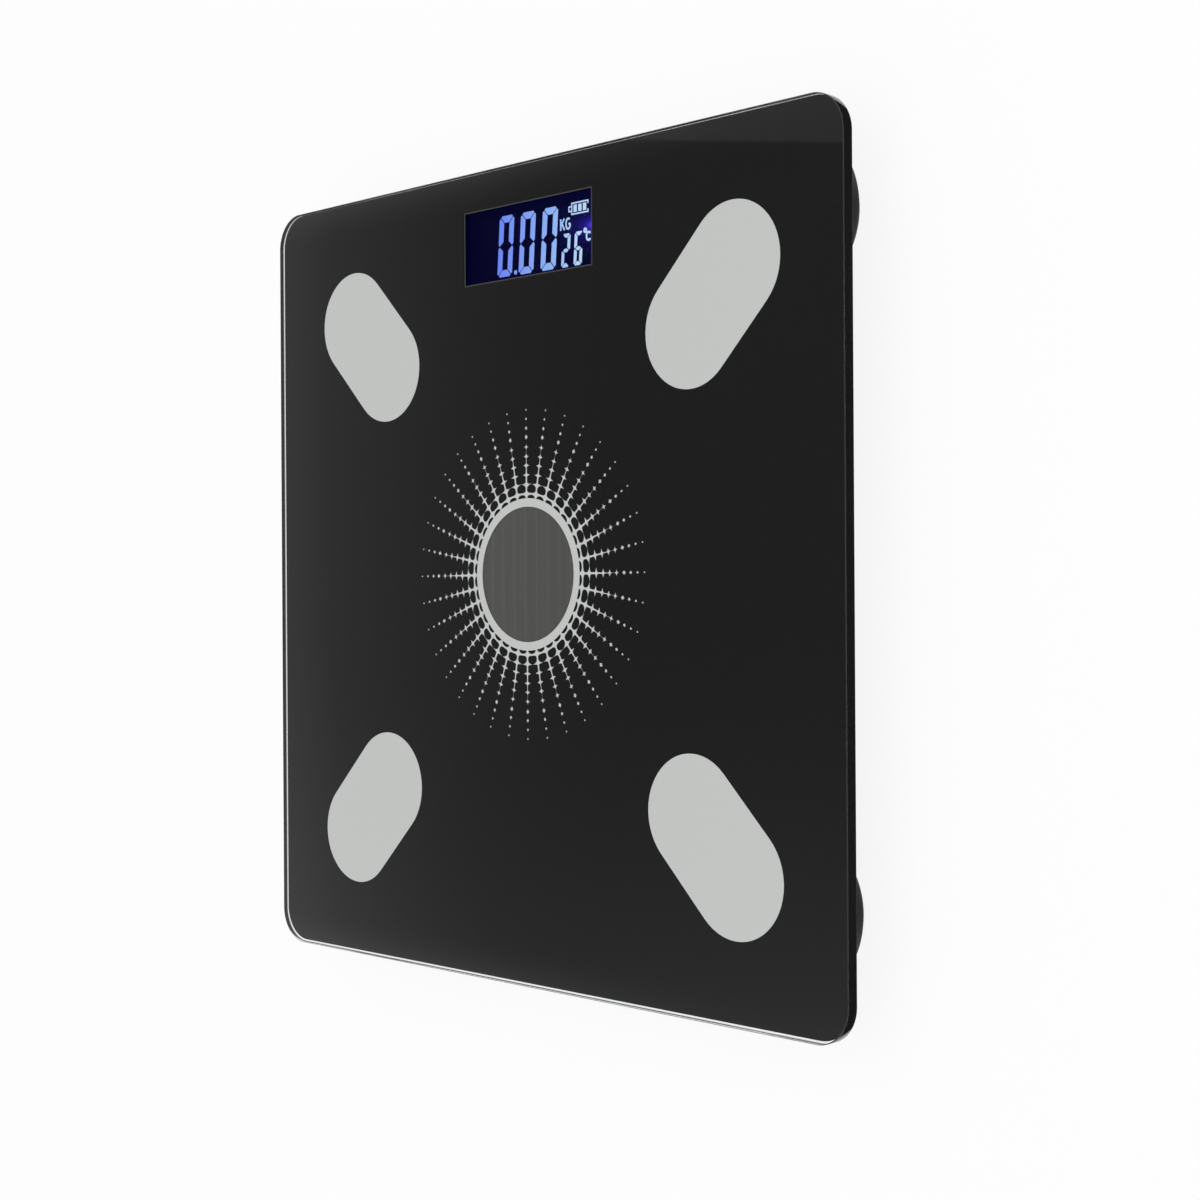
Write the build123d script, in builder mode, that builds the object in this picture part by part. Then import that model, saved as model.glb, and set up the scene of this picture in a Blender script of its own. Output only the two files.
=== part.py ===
from build123d import *
import os
from math import cos, radians, sin, tan

# Digital bathroom scale: a square tempered glass plate printed on its underside, carried by four round
# load-cell feet, with a display housing and a round solar cell glued under it.
# Millimetres. The floor is Z = 0, +Z is up, +Y points to the display end and X = 0 is the middle.

os.makedirs("parts", exist_ok=True)

# Glass platform and its print
platform_width = 260.0
platform_depth = 260.0
total_height = 23.0
glass_thickness = 4.0
glass_corner_radius = 11.5
glass_edge_chamfer = 0.3
print_thickness = 0.15
silver_thickness = 0.06
print_margin = 0.55
print_shift_y = 0.25
mark_width = 35.4
mark_centre_distance = 24.4
mark_inset_x = 50.7
mark_inset_y = 50.7
mark_angle = 45.0

# Display window and solar window in the print
display_window_width = 59.1
display_window_height = 23.3
display_edge_distance = 24.0
display_x = 0.55
solar_window_radius = 21.4
solar_ring_width = 2.7

# Solar cell and the dish that holds it
solar_cell_radius = 24.5
solar_cell_thickness = 1.1
solar_cell_glue = 0.05
solar_cell_clearance = 0.3
solar_dish_wall = 2.2
solar_dish_floor = 1.0
solar_dish_ledge = 2.0
solar_lead_space = 1.3
solar_flange_width = 3.0
solar_flange_thickness = 1.5
solar_exit_angle = 135.0

# Feet: holder glued to the glass
foot_inset_x = 33.5
foot_inset_front = 33.4
foot_inset_rear = 28.6
foot_holder_radius = 25.0
foot_holder_top_radius = 24.2
foot_holder_wall = 1.8
foot_holder_roof = 2.0
foot_holder_gap = 5.0
foot_holder_straight = 4.0
foot_holder_edge_radius = 0.8
foot_lip_height = 1.6
foot_lip_width = 0.55

# Feet: steel load cell with a stamped tongue, and its gauge
load_cell_size = 31.0
load_cell_corner_radius = 6.0
load_cell_thickness = 1.6
load_cell_height = 10.6
tongue_width = 9.0
tongue_length = 18.0
tongue_root_inset = 5.5
tongue_slot = 2.0
arm_slot_width = 1.6
arm_slot_length = 17.0
arm_slot_offset = 9.6
gauge_length = 7.0
gauge_width = 6.0
gauge_thickness = 0.7
gauge_offset = 6.5
seat_rib_width = 2.6
seat_rib_length = 18.0
seat_rib_inset = 1.2
snap_lug_width = 7.0
snap_lug_thickness = 1.6
snap_lug_hook = 0.9
snap_lug_hook_height = 0.9
snap_lug_clearance = 0.2

# Feet: captive cap and rubber pad
foot_pad_radius = 19.5
foot_pad_thickness = 3.0
foot_pad_edge_radius = 0.8
foot_pad_groove_radius = 13.0
foot_pad_groove_width = 2.0
foot_pad_groove_depth = 0.8
foot_pad_recess = 1.0
foot_pad_clearance = 0.2
foot_cap_clearance = 0.35
foot_cap_plate = 1.8
foot_cap_wall = 1.8
foot_cap_skirt_top = 8.6
foot_cap_hook_height = 1.4
foot_cap_hook_slope = 0.6
foot_cap_hook_clearance = 0.35
foot_boss_radius = 4.0
foot_rib_count = 6
foot_rib_thickness = 1.2
foot_rib_height = 2.4

# Electronics housing
housing_gap = 4.0
housing_width = 96.0
housing_wall = 1.8
housing_floor = 1.6
housing_corner_radius = 6.0
housing_edge_radius = 1.5
housing_flange_width = 4.0
housing_flange_thickness = 1.5

# Battery bay, its two cells and their contacts
battery_diameter = 10.5
battery_length = 44.5
battery_nub_radius = 1.9
battery_nub_height = 1.0
battery_edge_radius = 0.5
battery_spacing = 0.5
battery_clearance = 0.4
bay_contact_space = 3.0
bay_wall = 1.5
bay_ceiling = 1.1
contact_thickness = 0.4
contact_width = 7.0
contact_height = 9.0
contact_fold = 1.0
contact_bend_radius = 0.4
contact_tip_gap = 0.1
contact_tab_width = 2.4
front_tab_reach = 4.0
rear_tab_reach = 2.2
tab_slot_clearance = 0.3

# Sliding battery door
door_clearance = 0.3
door_slide_gap = 0.2
door_ledge = 1.0
door_ledge_clearance = 0.25
door_flange = 0.8
door_ridge_count = 6
door_ridge_pitch = 2.0
door_ridge_length = 18.0
door_ridge_width = 0.9
door_ridge_height = 0.4

# Display stack, from the glass down
lcd_gasket_thickness = 1.65
lcd_gasket_window_margin = 0.8
lcd_gasket_side_rim = 4.6
lcd_gasket_end_rim = 2.6
lcd_frame_wall = 1.5
lcd_frame_lip = 0.9
lcd_frame_window_margin = 0.4
lcd_seat_gap = 0.1
lcd_thickness = 2.8
lcd_side_border = 4.0
lcd_rear_border = 1.9
lcd_contact_border = 3.9
lcd_clearance = 0.2
backlight_thickness = 3.0
backlight_end_gap = 2.0
led_length = 1.4
led_width = 3.5
led_height = 2.2
zebra_width = 2.0
zebra_end_gap = 2.5
frame_peg_radius = 0.6
frame_peg_stick_out = 0.7
frame_peg_clearance = 0.05
frame_peg_inset = 4.0

# Circuit board and what sits on it
board_thickness = 1.6
board_clearance = 0.4
board_front_strip = 4.6
boss_radius = 2.6
boss_inset = 3.4
screw_radius = 1.0
screw_length = 4.2
screw_head_radius = 2.1
screw_head_height = 1.3
screw_cross_length = 2.2
screw_cross_width = 0.6
screw_cross_depth = 0.8
screw_hole_clearance = 0.05
chip_blob_radius = 7.0
chip_blob_height = 1.5
chip_blob_x = -14.0
chip_part_length = 2.0
chip_part_width = 1.2
chip_part_height = 0.8
chip_part_columns = 4
chip_part_rows = 2
chip_part_pitch = 4.0
chip_part_x = 4.0
thermistor_radius = 1.2
thermistor_height = 2.2
thermistor_edge_radius = 0.7
thermistor_leg_radius = 0.25
thermistor_leg_length = 1.4
thermistor_leg_spread = 1.2
thermistor_x = -20.0

# Unit button under the board
button_x = 27.0
button_radius = 4.5
button_stick_out = 0.4
button_flange_radius = 5.8
button_flange = 0.5
button_seat_gap = 0.05
button_clearance = 0.35
button_edge_radius = 0.5
switch_size = 6.0
switch_height = 1.4
switch_travel = 0.3
plunger_radius = 1.6
plunger_clearance = 0.15
plunger_engagement = 0.6

# Wires and their clips
wire_radius = 0.5
wire_pitch = 1.6
wire_slack = 0.05
wire_drop_radius = 4.0
wire_channel_side = 0.7
wire_channel_depth = 1.3
gauge_wire_reach = 7.0
front_wire_run = 42.0
front_wire_entry_run = 36.0
front_wire_wall_gap = 3.2
front_wire_drop_inset = 11.5
rear_wire_drop_inset = 4.5
solar_lead_start_radius = 15.0
solar_lead_x = -35.2
lead_landing = 2.4
lead_tab_inset = 0.7
clip_length = 5.0
clip_foot = 2.2
clip_bridge = 0.7
clip_edge_radius = 0.4
front_clip_shares = (0.28, 0.58)

# Levels worked out from the sizes above
glass_bottom = total_height - glass_thickness
underside = glass_bottom - print_thickness
foot_x = platform_width / 2 - foot_inset_x
front_foot_y = foot_inset_front - platform_depth / 2
rear_foot_y = platform_depth / 2 - foot_inset_rear
mark_x = platform_width / 2 - mark_inset_x
mark_y = platform_depth / 2 - mark_inset_y
display_y = platform_depth / 2 - display_edge_distance
solar_ring_radius = solar_window_radius + solar_ring_width
wire_level = underside - wire_slack - wire_radius
wire_bundle = 2 * wire_pitch + 2 * wire_radius
wire_channel = wire_bundle + 2 * wire_channel_side
corners = {"front_left": (-1, -1), "front_right": (1, -1), "rear_left": (-1, 1), "rear_right": (1, 1)}


def add_wire(points, radii):
    """Adds a round wire along straight runs whose corners are rounded by the given radii."""
    with BuildLine() as route:
        FilletPolyline(*points, radius=radii)
    with BuildSketch(Plane(route.line ^ 0)) as section:
        Circle(wire_radius)
    sweep(sections=section.sketch, path=route.line)


def widest_radius(before, corner, after):
    """The largest arc at a corner that takes 0.45 of the shorter of its two runs."""
    first = Vector(*corner) - Vector(*before)
    second = Vector(*after) - Vector(*corner)
    half_turn = radians(first.get_angle(second)) / 2
    return 0.45 * min(first.length, second.length) / tan(half_turn)


# Glass: a rounded square with a ground chamfer round both faces
with BuildPart() as glass_platform:
    with BuildSketch(Plane.XY.offset(glass_bottom)):
        RectangleRounded(platform_width, platform_depth, glass_corner_radius)
    extrude(amount=glass_thickness)
    chamfer(glass_platform.faces().filter_by(Axis.Z).edges(), glass_edge_chamfer)
glass_platform.part.label = "glass_platform"
export_step(glass_platform.part, "parts/glass_platform.step")

# Silver bars printed on the glass along the diagonals, two for each foot of the user
silver_bottom = glass_bottom - silver_thickness
with BuildPart() as silver_marks:
    with BuildSketch(Plane.XY.offset(silver_bottom)):
        for side, end in corners.values():
            with Locations((side * mark_x, end * mark_y)):
                SlotCenterToCenter(mark_centre_distance, mark_width, rotation=side * end * mark_angle)
    extrude(amount=silver_thickness)
silver_marks.part.label = "silver_marks"
export_step(silver_marks.part, "parts/silver_marks.step")

# Silver ring printed round the solar window
with BuildPart() as solar_ring:
    with BuildSketch(Plane.XY.offset(silver_bottom)):
        Circle(solar_ring_radius)
        Circle(solar_window_radius, mode=Mode.SUBTRACT)
    extrude(amount=silver_thickness)
solar_ring.part.label = "solar_ring"
export_step(solar_ring.part, "parts/solar_ring.step")

# Black print flooded over the silver, open at the display window and the solar window
with BuildPart() as black_print:
    with BuildSketch(Plane.XY.offset(underside)):
        with Locations((0, print_shift_y)):
            RectangleRounded(
                platform_width - 2 * print_margin,
                platform_depth - 2 * print_margin,
                glass_corner_radius - print_margin,
            )
        Circle(solar_window_radius, mode=Mode.SUBTRACT)
        with Locations((display_x, display_y)):
            Rectangle(display_window_width, display_window_height, mode=Mode.SUBTRACT)
    extrude(amount=print_thickness)
    with BuildSketch(Plane.XY.offset(silver_bottom)):
        Circle(solar_ring_radius)
        for side, end in corners.values():
            with Locations((side * mark_x, end * mark_y)):
                SlotCenterToCenter(mark_centre_distance, mark_width, rotation=side * end * mark_angle)
    extrude(amount=silver_thickness, mode=Mode.SUBTRACT)
black_print.part.label = "black_print"
export_step(black_print.part, "parts/black_print.step")

# Solar cell, face up behind the ring
solar_cell_top = underside - solar_cell_glue
solar_cell_bottom = solar_cell_top - solar_cell_thickness
with BuildPart() as solar_cell:
    with BuildSketch(Plane.XY.offset(solar_cell_bottom)):
        Circle(solar_cell_radius)
    extrude(amount=solar_cell_thickness)
solar_cell.part.label = "solar_cell"
export_step(solar_cell.part, "parts/solar_cell.step")

# Solar dish: a shallow cup with a ledge under the cell's rim, a glued flange and a lead channel
dish_inside = solar_cell_radius + solar_cell_clearance
dish_outside = dish_inside + solar_dish_wall
dish_floor_top = solar_cell_bottom - solar_lead_space
dish_bottom = dish_floor_top - solar_dish_floor
solar_lead_level = solar_cell_bottom - wire_slack - wire_radius
solar_lead_channel = wire_pitch + 2 * wire_radius + 2 * wire_channel_side
with BuildPart() as solar_holder:
    with BuildSketch(Plane.XY.offset(dish_bottom)):
        Circle(dish_outside)
    extrude(amount=underside - dish_bottom)
    with BuildSketch(Plane.XY.offset(underside - solar_flange_thickness)):
        Circle(dish_outside + solar_flange_width)
    extrude(amount=solar_flange_thickness)
    with BuildSketch(Plane.XY.offset(solar_cell_bottom)):
        Circle(dish_inside)
    extrude(amount=underside - solar_cell_bottom, mode=Mode.SUBTRACT)
    with BuildSketch(Plane.XY.offset(dish_floor_top)):
        Circle(dish_inside - solar_dish_ledge)
    extrude(amount=solar_lead_space, mode=Mode.SUBTRACT)
    with BuildSketch(Plane.XY.offset(dish_floor_top)):
        with Locations(Location((0, 0, 0), (0, 0, solar_exit_angle))):
            Rectangle(2 * dish_outside, solar_lead_channel, align=(Align.MIN, Align.CENTER))
    extrude(amount=underside - dish_floor_top, mode=Mode.SUBTRACT)
    chamfer(solar_holder.edges().group_by(Axis.Z)[0], solar_dish_floor / 2)
solar_holder.part.label = "solar_holder"
export_step(solar_holder.part, "parts/solar_holder.step")

# Levels inside a foot, from the floor up
foot_lip_top = foot_holder_gap + foot_lip_height
foot_inside_radius = foot_holder_radius - foot_holder_wall
foot_lip_radius = foot_inside_radius - foot_lip_width
foot_roof_bottom = underside - foot_holder_roof
load_cell_top = load_cell_height + load_cell_thickness
gauge_top = load_cell_top + gauge_thickness
foot_cap_radius = foot_lip_radius - foot_cap_clearance
foot_cap_bottom = foot_pad_thickness - foot_pad_recess
foot_cap_plate_top = foot_pad_thickness + foot_cap_plate
foot_cap_hook_bottom = foot_cap_skirt_top - foot_cap_hook_height
foot_cap_hook_radius = foot_inside_radius - foot_cap_hook_clearance
tongue_root = load_cell_size / 2 - tongue_root_inset

# Feet: each module's own X axis points the way that its wires leave
foot_planes = {}
for corner, (side, end) in corners.items():
    foot_y = rear_foot_y if end > 0 else front_foot_y
    wire_exit = (-side, 0, 0) if end > 0 else (0, 1, 0)
    foot_planes[corner] = Plane(origin=(side * foot_x, foot_y, 0), x_dir=wire_exit)

for corner, foot in foot_planes.items():
    foot_section = Plane(origin=foot.origin, x_dir=foot.x_dir, z_dir=-foot.y_dir)
    foot_axis = Axis(foot.origin, (0, 0, 1))

    # Holder: a turned cup with a retaining lip, seat ribs for the load cell, snap lugs and a wire groove
    with BuildPart() as foot_holder:
        with BuildSketch(foot_section):
            with BuildLine():
                Polyline(
                    (0, foot_roof_bottom),
                    (0, underside),
                    (foot_holder_top_radius, underside),
                    (foot_holder_radius, foot_holder_gap + foot_holder_straight),
                    (foot_holder_radius, foot_holder_gap),
                    (foot_lip_radius, foot_holder_gap),
                    (foot_lip_radius, foot_lip_top),
                    (foot_inside_radius, foot_lip_top),
                    (foot_inside_radius, foot_roof_bottom),
                    close=True,
                )
            make_face()
        revolve(axis=foot_axis)
        rim_edges = foot_holder.edges().filter_by(GeomType.CIRCLE).group_by(Axis.Z)[0]
        fillet(rim_edges.sort_by(SortBy.RADIUS)[-1], foot_holder_edge_radius)
        seat_rib_y = (load_cell_size - seat_rib_width) / 2 - seat_rib_inset
        with BuildSketch(foot.offset(load_cell_top)):
            with Locations((0, seat_rib_y), (0, -seat_rib_y)):
                Rectangle(seat_rib_length, seat_rib_width)
        extrude(amount=foot_roof_bottom - load_cell_top)
        lug_x = load_cell_size / 2 + snap_lug_clearance + snap_lug_thickness / 2
        lug_bottom = load_cell_height - snap_lug_clearance - snap_lug_hook_height
        with BuildSketch(foot.offset(lug_bottom)):
            for lug_side in (-1, 1):
                with Locations((lug_side * lug_x, 0)):
                    Rectangle(snap_lug_thickness, snap_lug_width)
        extrude(amount=foot_roof_bottom - lug_bottom)
        with BuildSketch(foot.offset(lug_bottom)):
            for lug_side in (-1, 1):
                with Locations((lug_side * (lug_x - snap_lug_hook), 0)):
                    Rectangle(snap_lug_thickness, snap_lug_width)
        extrude(amount=snap_lug_hook_height)
        with BuildSketch(foot.offset(underside - wire_channel_depth)):
            with Locations((gauge_wire_reach, 0)):
                Rectangle(foot_holder_radius, wire_channel, align=(Align.MIN, Align.CENTER))
        extrude(amount=wire_channel_depth, mode=Mode.SUBTRACT)
        with BuildSketch(foot.offset(foot_roof_bottom)):
            with Locations((gauge_wire_reach - wire_radius - wire_channel_side, 0)):
                Rectangle(
                    wire_drop_radius + wire_radius + wire_channel_side,
                    wire_channel,
                    align=(Align.MIN, Align.CENTER),
                )
        extrude(amount=foot_holder_roof, mode=Mode.SUBTRACT)
    foot_holder.part.label = f"foot_holder_{corner}"
    export_step(foot_holder.part, f"parts/foot_holder_{corner}.step")

    # Load cell: steel plate stamped so that a tongue and two arms bend
    with BuildPart() as load_cell:
        with BuildSketch(foot.offset(load_cell_height)):
            RectangleRounded(load_cell_size, load_cell_size, load_cell_corner_radius)
            with Locations((tongue_root, 0)):
                Rectangle(
                    tongue_length + tongue_slot,
                    tongue_width + 2 * tongue_slot,
                    align=(Align.MAX, Align.CENTER),
                    mode=Mode.SUBTRACT,
                )
                Rectangle(tongue_length, tongue_width, align=(Align.MAX, Align.CENTER))
            with Locations((0, arm_slot_offset), (0, -arm_slot_offset)):
                SlotOverall(arm_slot_length, arm_slot_width, mode=Mode.SUBTRACT)
        extrude(amount=load_cell_thickness)
    load_cell.part.label = f"load_cell_{corner}"
    export_step(load_cell.part, f"parts/load_cell_{corner}.step")

    # Strain gauge under its sealing, at the root of the tongue
    with BuildPart() as strain_gauge:
        with BuildSketch(foot.offset(load_cell_top)):
            with Locations((gauge_offset, 0)):
                RectangleRounded(gauge_length, gauge_width, gauge_thickness)
        extrude(amount=gauge_thickness)
        fillet(strain_gauge.edges().group_by(Axis.Z)[-1], gauge_thickness / 3)
    strain_gauge.part.label = f"strain_gauge_{corner}"
    export_step(strain_gauge.part, f"parts/strain_gauge_{corner}.step")

    # Cap: hooked behind the holder's lip, with a ribbed boss that presses the tongue
    with BuildPart() as foot_cap:
        with BuildSketch(foot_section):
            with BuildLine():
                Polyline(
                    (0, foot_pad_thickness),
                    (foot_pad_radius + foot_pad_clearance, foot_pad_thickness),
                    (foot_pad_radius + foot_pad_clearance, foot_cap_bottom),
                    (foot_cap_radius, foot_cap_bottom),
                    (foot_cap_radius, foot_cap_hook_bottom),
                    (foot_cap_hook_radius, foot_cap_hook_bottom),
                    (foot_cap_hook_radius, foot_cap_skirt_top - foot_cap_hook_slope),
                    (foot_cap_radius, foot_cap_skirt_top),
                    (foot_cap_radius - foot_cap_wall, foot_cap_skirt_top),
                    (foot_cap_radius - foot_cap_wall, foot_cap_plate_top),
                    (foot_boss_radius, foot_cap_plate_top),
                    (foot_boss_radius, load_cell_height),
                    (0, load_cell_height),
                    close=True,
                )
            make_face()
        revolve(axis=foot_axis)
        with BuildSketch(foot.offset(foot_cap_plate_top)):
            with PolarLocations(0, foot_rib_count):
                with Locations((foot_boss_radius / 2, 0)):
                    Rectangle(
                        foot_cap_radius - foot_cap_wall / 2 - foot_boss_radius / 2,
                        foot_rib_thickness,
                        align=(Align.MIN, Align.CENTER),
                    )
        extrude(amount=foot_rib_height)
    foot_cap.part.label = f"foot_cap_{corner}"
    export_step(foot_cap.part, f"parts/foot_cap_{corner}.step")

    # Pad: a rubber disc in the cap's recess, with one ring groove in its sole
    with BuildPart() as foot_pad:
        with BuildSketch(foot):
            Circle(foot_pad_radius)
        extrude(amount=foot_pad_thickness)
        with BuildSketch(foot):
            Circle(foot_pad_groove_radius + foot_pad_groove_width / 2)
            Circle(foot_pad_groove_radius - foot_pad_groove_width / 2, mode=Mode.SUBTRACT)
        extrude(amount=foot_pad_groove_depth, mode=Mode.SUBTRACT)
        sole_edges = foot_pad.edges().filter_by(GeomType.CIRCLE).group_by(Axis.Z)[0]
        fillet(sole_edges.sort_by(SortBy.RADIUS)[-1], foot_pad_edge_radius)
    foot_pad.part.label = f"foot_pad_{corner}"
    export_step(foot_pad.part, f"parts/foot_pad_{corner}.step")

# Places in the housing: the display sets its rear end, the battery bay its front end
lcd_rear = display_y + display_window_height / 2 + lcd_rear_border
lcd_front = display_y - display_window_height / 2 - lcd_contact_border
lcd_width = display_window_width + 2 * lcd_side_border
lcd_depth = lcd_rear - lcd_front
lcd_y = (lcd_rear + lcd_front) / 2
frame_rear = lcd_rear + lcd_clearance + lcd_frame_wall
frame_front = lcd_front - lcd_clearance - lcd_frame_wall
frame_width = lcd_width + 2 * lcd_clearance + 2 * lcd_frame_wall
housing_inner_rear = frame_rear + board_clearance
board_front = frame_front - board_front_strip
board_rear = housing_inner_rear - board_clearance
bay_rear = board_front - board_clearance - bay_wall
bay_depth = 2 * battery_diameter + battery_spacing + 2 * battery_clearance
bay_front = bay_rear - bay_depth
bay_y = (bay_front + bay_rear) / 2
bay_width = battery_length + 2 * bay_contact_space
housing_front = bay_front - housing_wall
housing_rear = housing_inner_rear + housing_wall
housing_depth = housing_rear - housing_front
housing_y = (housing_front + housing_rear) / 2
housing_inner_width = housing_width - 2 * housing_wall

# Levels in the housing, from the door up to the board and from the glass down to the display
housing_bottom = housing_gap
housing_floor_top = housing_bottom + housing_floor
door_flange_bottom = housing_floor_top + door_slide_gap
door_top = door_flange_bottom + door_flange
battery_level = door_top + battery_clearance + battery_diameter / 2
bay_ceiling_bottom = battery_level + battery_diameter / 2 + battery_clearance / 2
door_opening = bay_width - 2 * door_ledge - 2 * door_ledge_clearance
door_opening_rear = bay_rear - door_ledge - door_ledge_clearance
lcd_frame_top = underside - lcd_gasket_thickness
lcd_top = lcd_frame_top - lcd_frame_lip - lcd_seat_gap
lcd_bottom = lcd_top - lcd_thickness
board_top = lcd_bottom - lcd_seat_gap - backlight_thickness - lcd_seat_gap
board_bottom = board_top - board_thickness
board_width = housing_inner_width - 2 * board_clearance
board_depth = board_rear - board_front
board_y = (board_front + board_rear) / 2
boss_x = board_width / 2 - boss_inset
boss_places = [
    (x, y) for x in (-boss_x, boss_x) for y in (board_front + boss_inset, board_rear - boss_inset)
]
peg_x = frame_width / 2 - lcd_frame_wall / 2
peg_places = [
    (x, y) for x in (-peg_x, peg_x) for y in (frame_front + frame_peg_inset, frame_rear - frame_peg_inset)
]
front_wire_x = housing_inner_width / 2 - front_wire_wall_gap
button_y = board_y
contact_tab_top = board_top + wire_slack
battery_rows = {"front": bay_y - (battery_diameter + battery_spacing) / 2}
battery_rows["rear"] = bay_y + (battery_diameter + battery_spacing) / 2

# Electronics housing: a moulded tray glued by its flange, with the battery bay standing inside it
with BuildPart() as electronics_housing:
    with BuildSketch(Plane.XY.offset(housing_bottom)):
        with Locations((0, housing_y)):
            RectangleRounded(housing_width, housing_depth, housing_corner_radius)
    extrude(amount=underside - housing_bottom)
    fillet(electronics_housing.edges().group_by(Axis.Z)[0], housing_edge_radius)
    with BuildSketch(Plane.XY.offset(underside - housing_flange_thickness)):
        with Locations((0, housing_y)):
            RectangleRounded(
                housing_width + 2 * housing_flange_width,
                housing_depth + 2 * housing_flange_width,
                housing_corner_radius + housing_flange_width,
            )
    extrude(amount=housing_flange_thickness)
    with BuildSketch(Plane.XY.offset(housing_floor_top)):
        with Locations((0, housing_y)):
            RectangleRounded(
                housing_inner_width, housing_depth - 2 * housing_wall, housing_corner_radius - housing_wall
            )
    extrude(amount=underside - housing_floor_top, mode=Mode.SUBTRACT)
    # Bay walls and ceiling, then the pocket that is open to the floor side
    with BuildSketch(Plane.XY.offset(housing_floor_top)):
        with Locations((0, bay_front)):
            Rectangle(bay_width + 2 * bay_wall, bay_depth + bay_wall, align=(Align.CENTER, Align.MIN))
    extrude(amount=bay_ceiling_bottom + bay_ceiling - housing_floor_top)
    with BuildSketch(Plane.XY.offset(housing_floor_top)):
        with Locations((0, bay_y)):
            Rectangle(bay_width, bay_depth)
    extrude(amount=bay_ceiling_bottom - housing_floor_top, mode=Mode.SUBTRACT)
    with BuildSketch(Plane.XY.offset(housing_bottom)):
        with Locations((0, housing_front)):
            Rectangle(door_opening, door_opening_rear - housing_front, align=(Align.CENTER, Align.MIN))
    extrude(amount=housing_floor, mode=Mode.SUBTRACT)
    with BuildSketch(Plane.XY.offset(housing_bottom)):
        with Locations((0, housing_front)):
            Rectangle(bay_width, housing_wall, align=(Align.CENTER, Align.MIN))
    extrude(amount=door_top + door_ledge_clearance - housing_bottom, mode=Mode.SUBTRACT)
    # Slots for the contact tabs in the right-hand end wall of the bay
    with BuildSketch(Plane.XY.offset(contact_tab_top - contact_thickness - tab_slot_clearance)):
        for row_y in battery_rows.values():
            with Locations((bay_width / 2, row_y)):
                Rectangle(
                    bay_wall, contact_tab_width + 2 * tab_slot_clearance, align=(Align.MIN, Align.CENTER)
                )
    extrude(amount=contact_thickness + 2 * tab_slot_clearance, mode=Mode.SUBTRACT)
    # Bosses under the board with their screw holes
    with BuildSketch(Plane.XY.offset(housing_floor_top)):
        with Locations(*boss_places):
            Circle(boss_radius)
    extrude(amount=board_bottom - housing_floor_top)
    with BuildSketch(Plane.XY.offset(housing_floor_top)):
        with Locations(*boss_places):
            Circle(screw_radius + screw_hole_clearance)
    extrude(amount=board_bottom - housing_floor_top, mode=Mode.SUBTRACT)
    # Hole for the unit button
    with BuildSketch(Plane.XY.offset(housing_bottom)):
        with Locations((button_x, button_y)):
            Circle(button_radius + button_clearance)
    extrude(amount=housing_floor, mode=Mode.SUBTRACT)
    # Notches under the glass for the wires of the feet and of the solar cell
    notch_reach = housing_wall + housing_flange_width
    with BuildSketch(Plane.XY.offset(underside - wire_channel_depth)):
        for side in (-1, 1):
            with Locations((side * front_wire_x, housing_front - housing_flange_width)):
                Rectangle(wire_channel, 2 * notch_reach, align=(Align.CENTER, Align.MIN))
            with Locations((side * (housing_inner_width / 2 + notch_reach / 2), rear_foot_y)):
                Rectangle(notch_reach, wire_channel)
    extrude(amount=wire_channel_depth, mode=Mode.SUBTRACT)
    with BuildSketch(Plane.XY.offset(solar_lead_level - wire_radius - wire_slack)):
        with Locations((solar_lead_x, housing_front - housing_flange_width)):
            Rectangle(solar_lead_channel, notch_reach, align=(Align.CENTER, Align.MIN))
    extrude(amount=underside - solar_lead_level + wire_radius + wire_slack, mode=Mode.SUBTRACT)
electronics_housing.part.label = "electronics_housing"
export_step(electronics_housing.part, "parts/electronics_housing.step")

# Battery door: a panel flush with the housing whose flange slides on the ledges of the opening
with BuildPart() as battery_door:
    with BuildSketch(Plane.XY.offset(housing_bottom)):
        with Locations((0, housing_front)):
            Rectangle(
                door_opening - 2 * door_clearance,
                door_opening_rear - door_clearance - housing_front,
                align=(Align.CENTER, Align.MIN),
            )
    extrude(amount=door_top - housing_bottom)
    with BuildSketch(Plane.XY.offset(door_flange_bottom)):
        with Locations((0, housing_front)):
            Rectangle(
                door_opening + 2 * door_ledge,
                door_opening_rear + door_ledge - housing_front,
                align=(Align.CENTER, Align.MIN),
            )
    extrude(amount=door_flange)
    front_edge = battery_door.edges().filter_by(Axis.X).group_by(Axis.Z)[0].sort_by(Axis.Y)[0]
    fillet(front_edge, housing_edge_radius)
    with BuildSketch(Plane.XY.offset(housing_bottom)):
        with Locations((0, bay_y)):
            with GridLocations(0, door_ridge_pitch, 1, door_ridge_count):
                SlotOverall(door_ridge_length, door_ridge_width)
    extrude(amount=-door_ridge_height)
battery_door.part.label = "battery_door"
export_step(battery_door.part, "parts/battery_door.step")

# Battery cells, side by side and head to tail
battery_ends = {"front": 1, "rear": -1}
for row, row_y in battery_rows.items():
    nub_end = battery_ends[row]
    with BuildPart() as battery_cell:
        with BuildSketch(Plane.XY.offset(battery_level)):
            with Locations((-nub_end * battery_nub_height / 2, row_y)):
                Rectangle(
                    battery_length - battery_nub_height,
                    battery_diameter / 2,
                    align=(Align.CENTER, Align.MIN),
                )
            with Locations((nub_end * (battery_length - battery_nub_height) / 2, row_y)):
                Rectangle(battery_nub_height, battery_nub_radius, align=(Align.CENTER, Align.MIN))
        revolve(axis=Axis((0, row_y, battery_level), (1, 0, 0)))
        case_edges = battery_cell.edges().filter_by(GeomType.CIRCLE).group_by(SortBy.RADIUS)[-1]
        fillet(case_edges, battery_edge_radius)
    battery_cell.part.label = f"battery_cell_{row}"
    export_step(battery_cell.part, f"parts/battery_cell_{row}.step")


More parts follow.
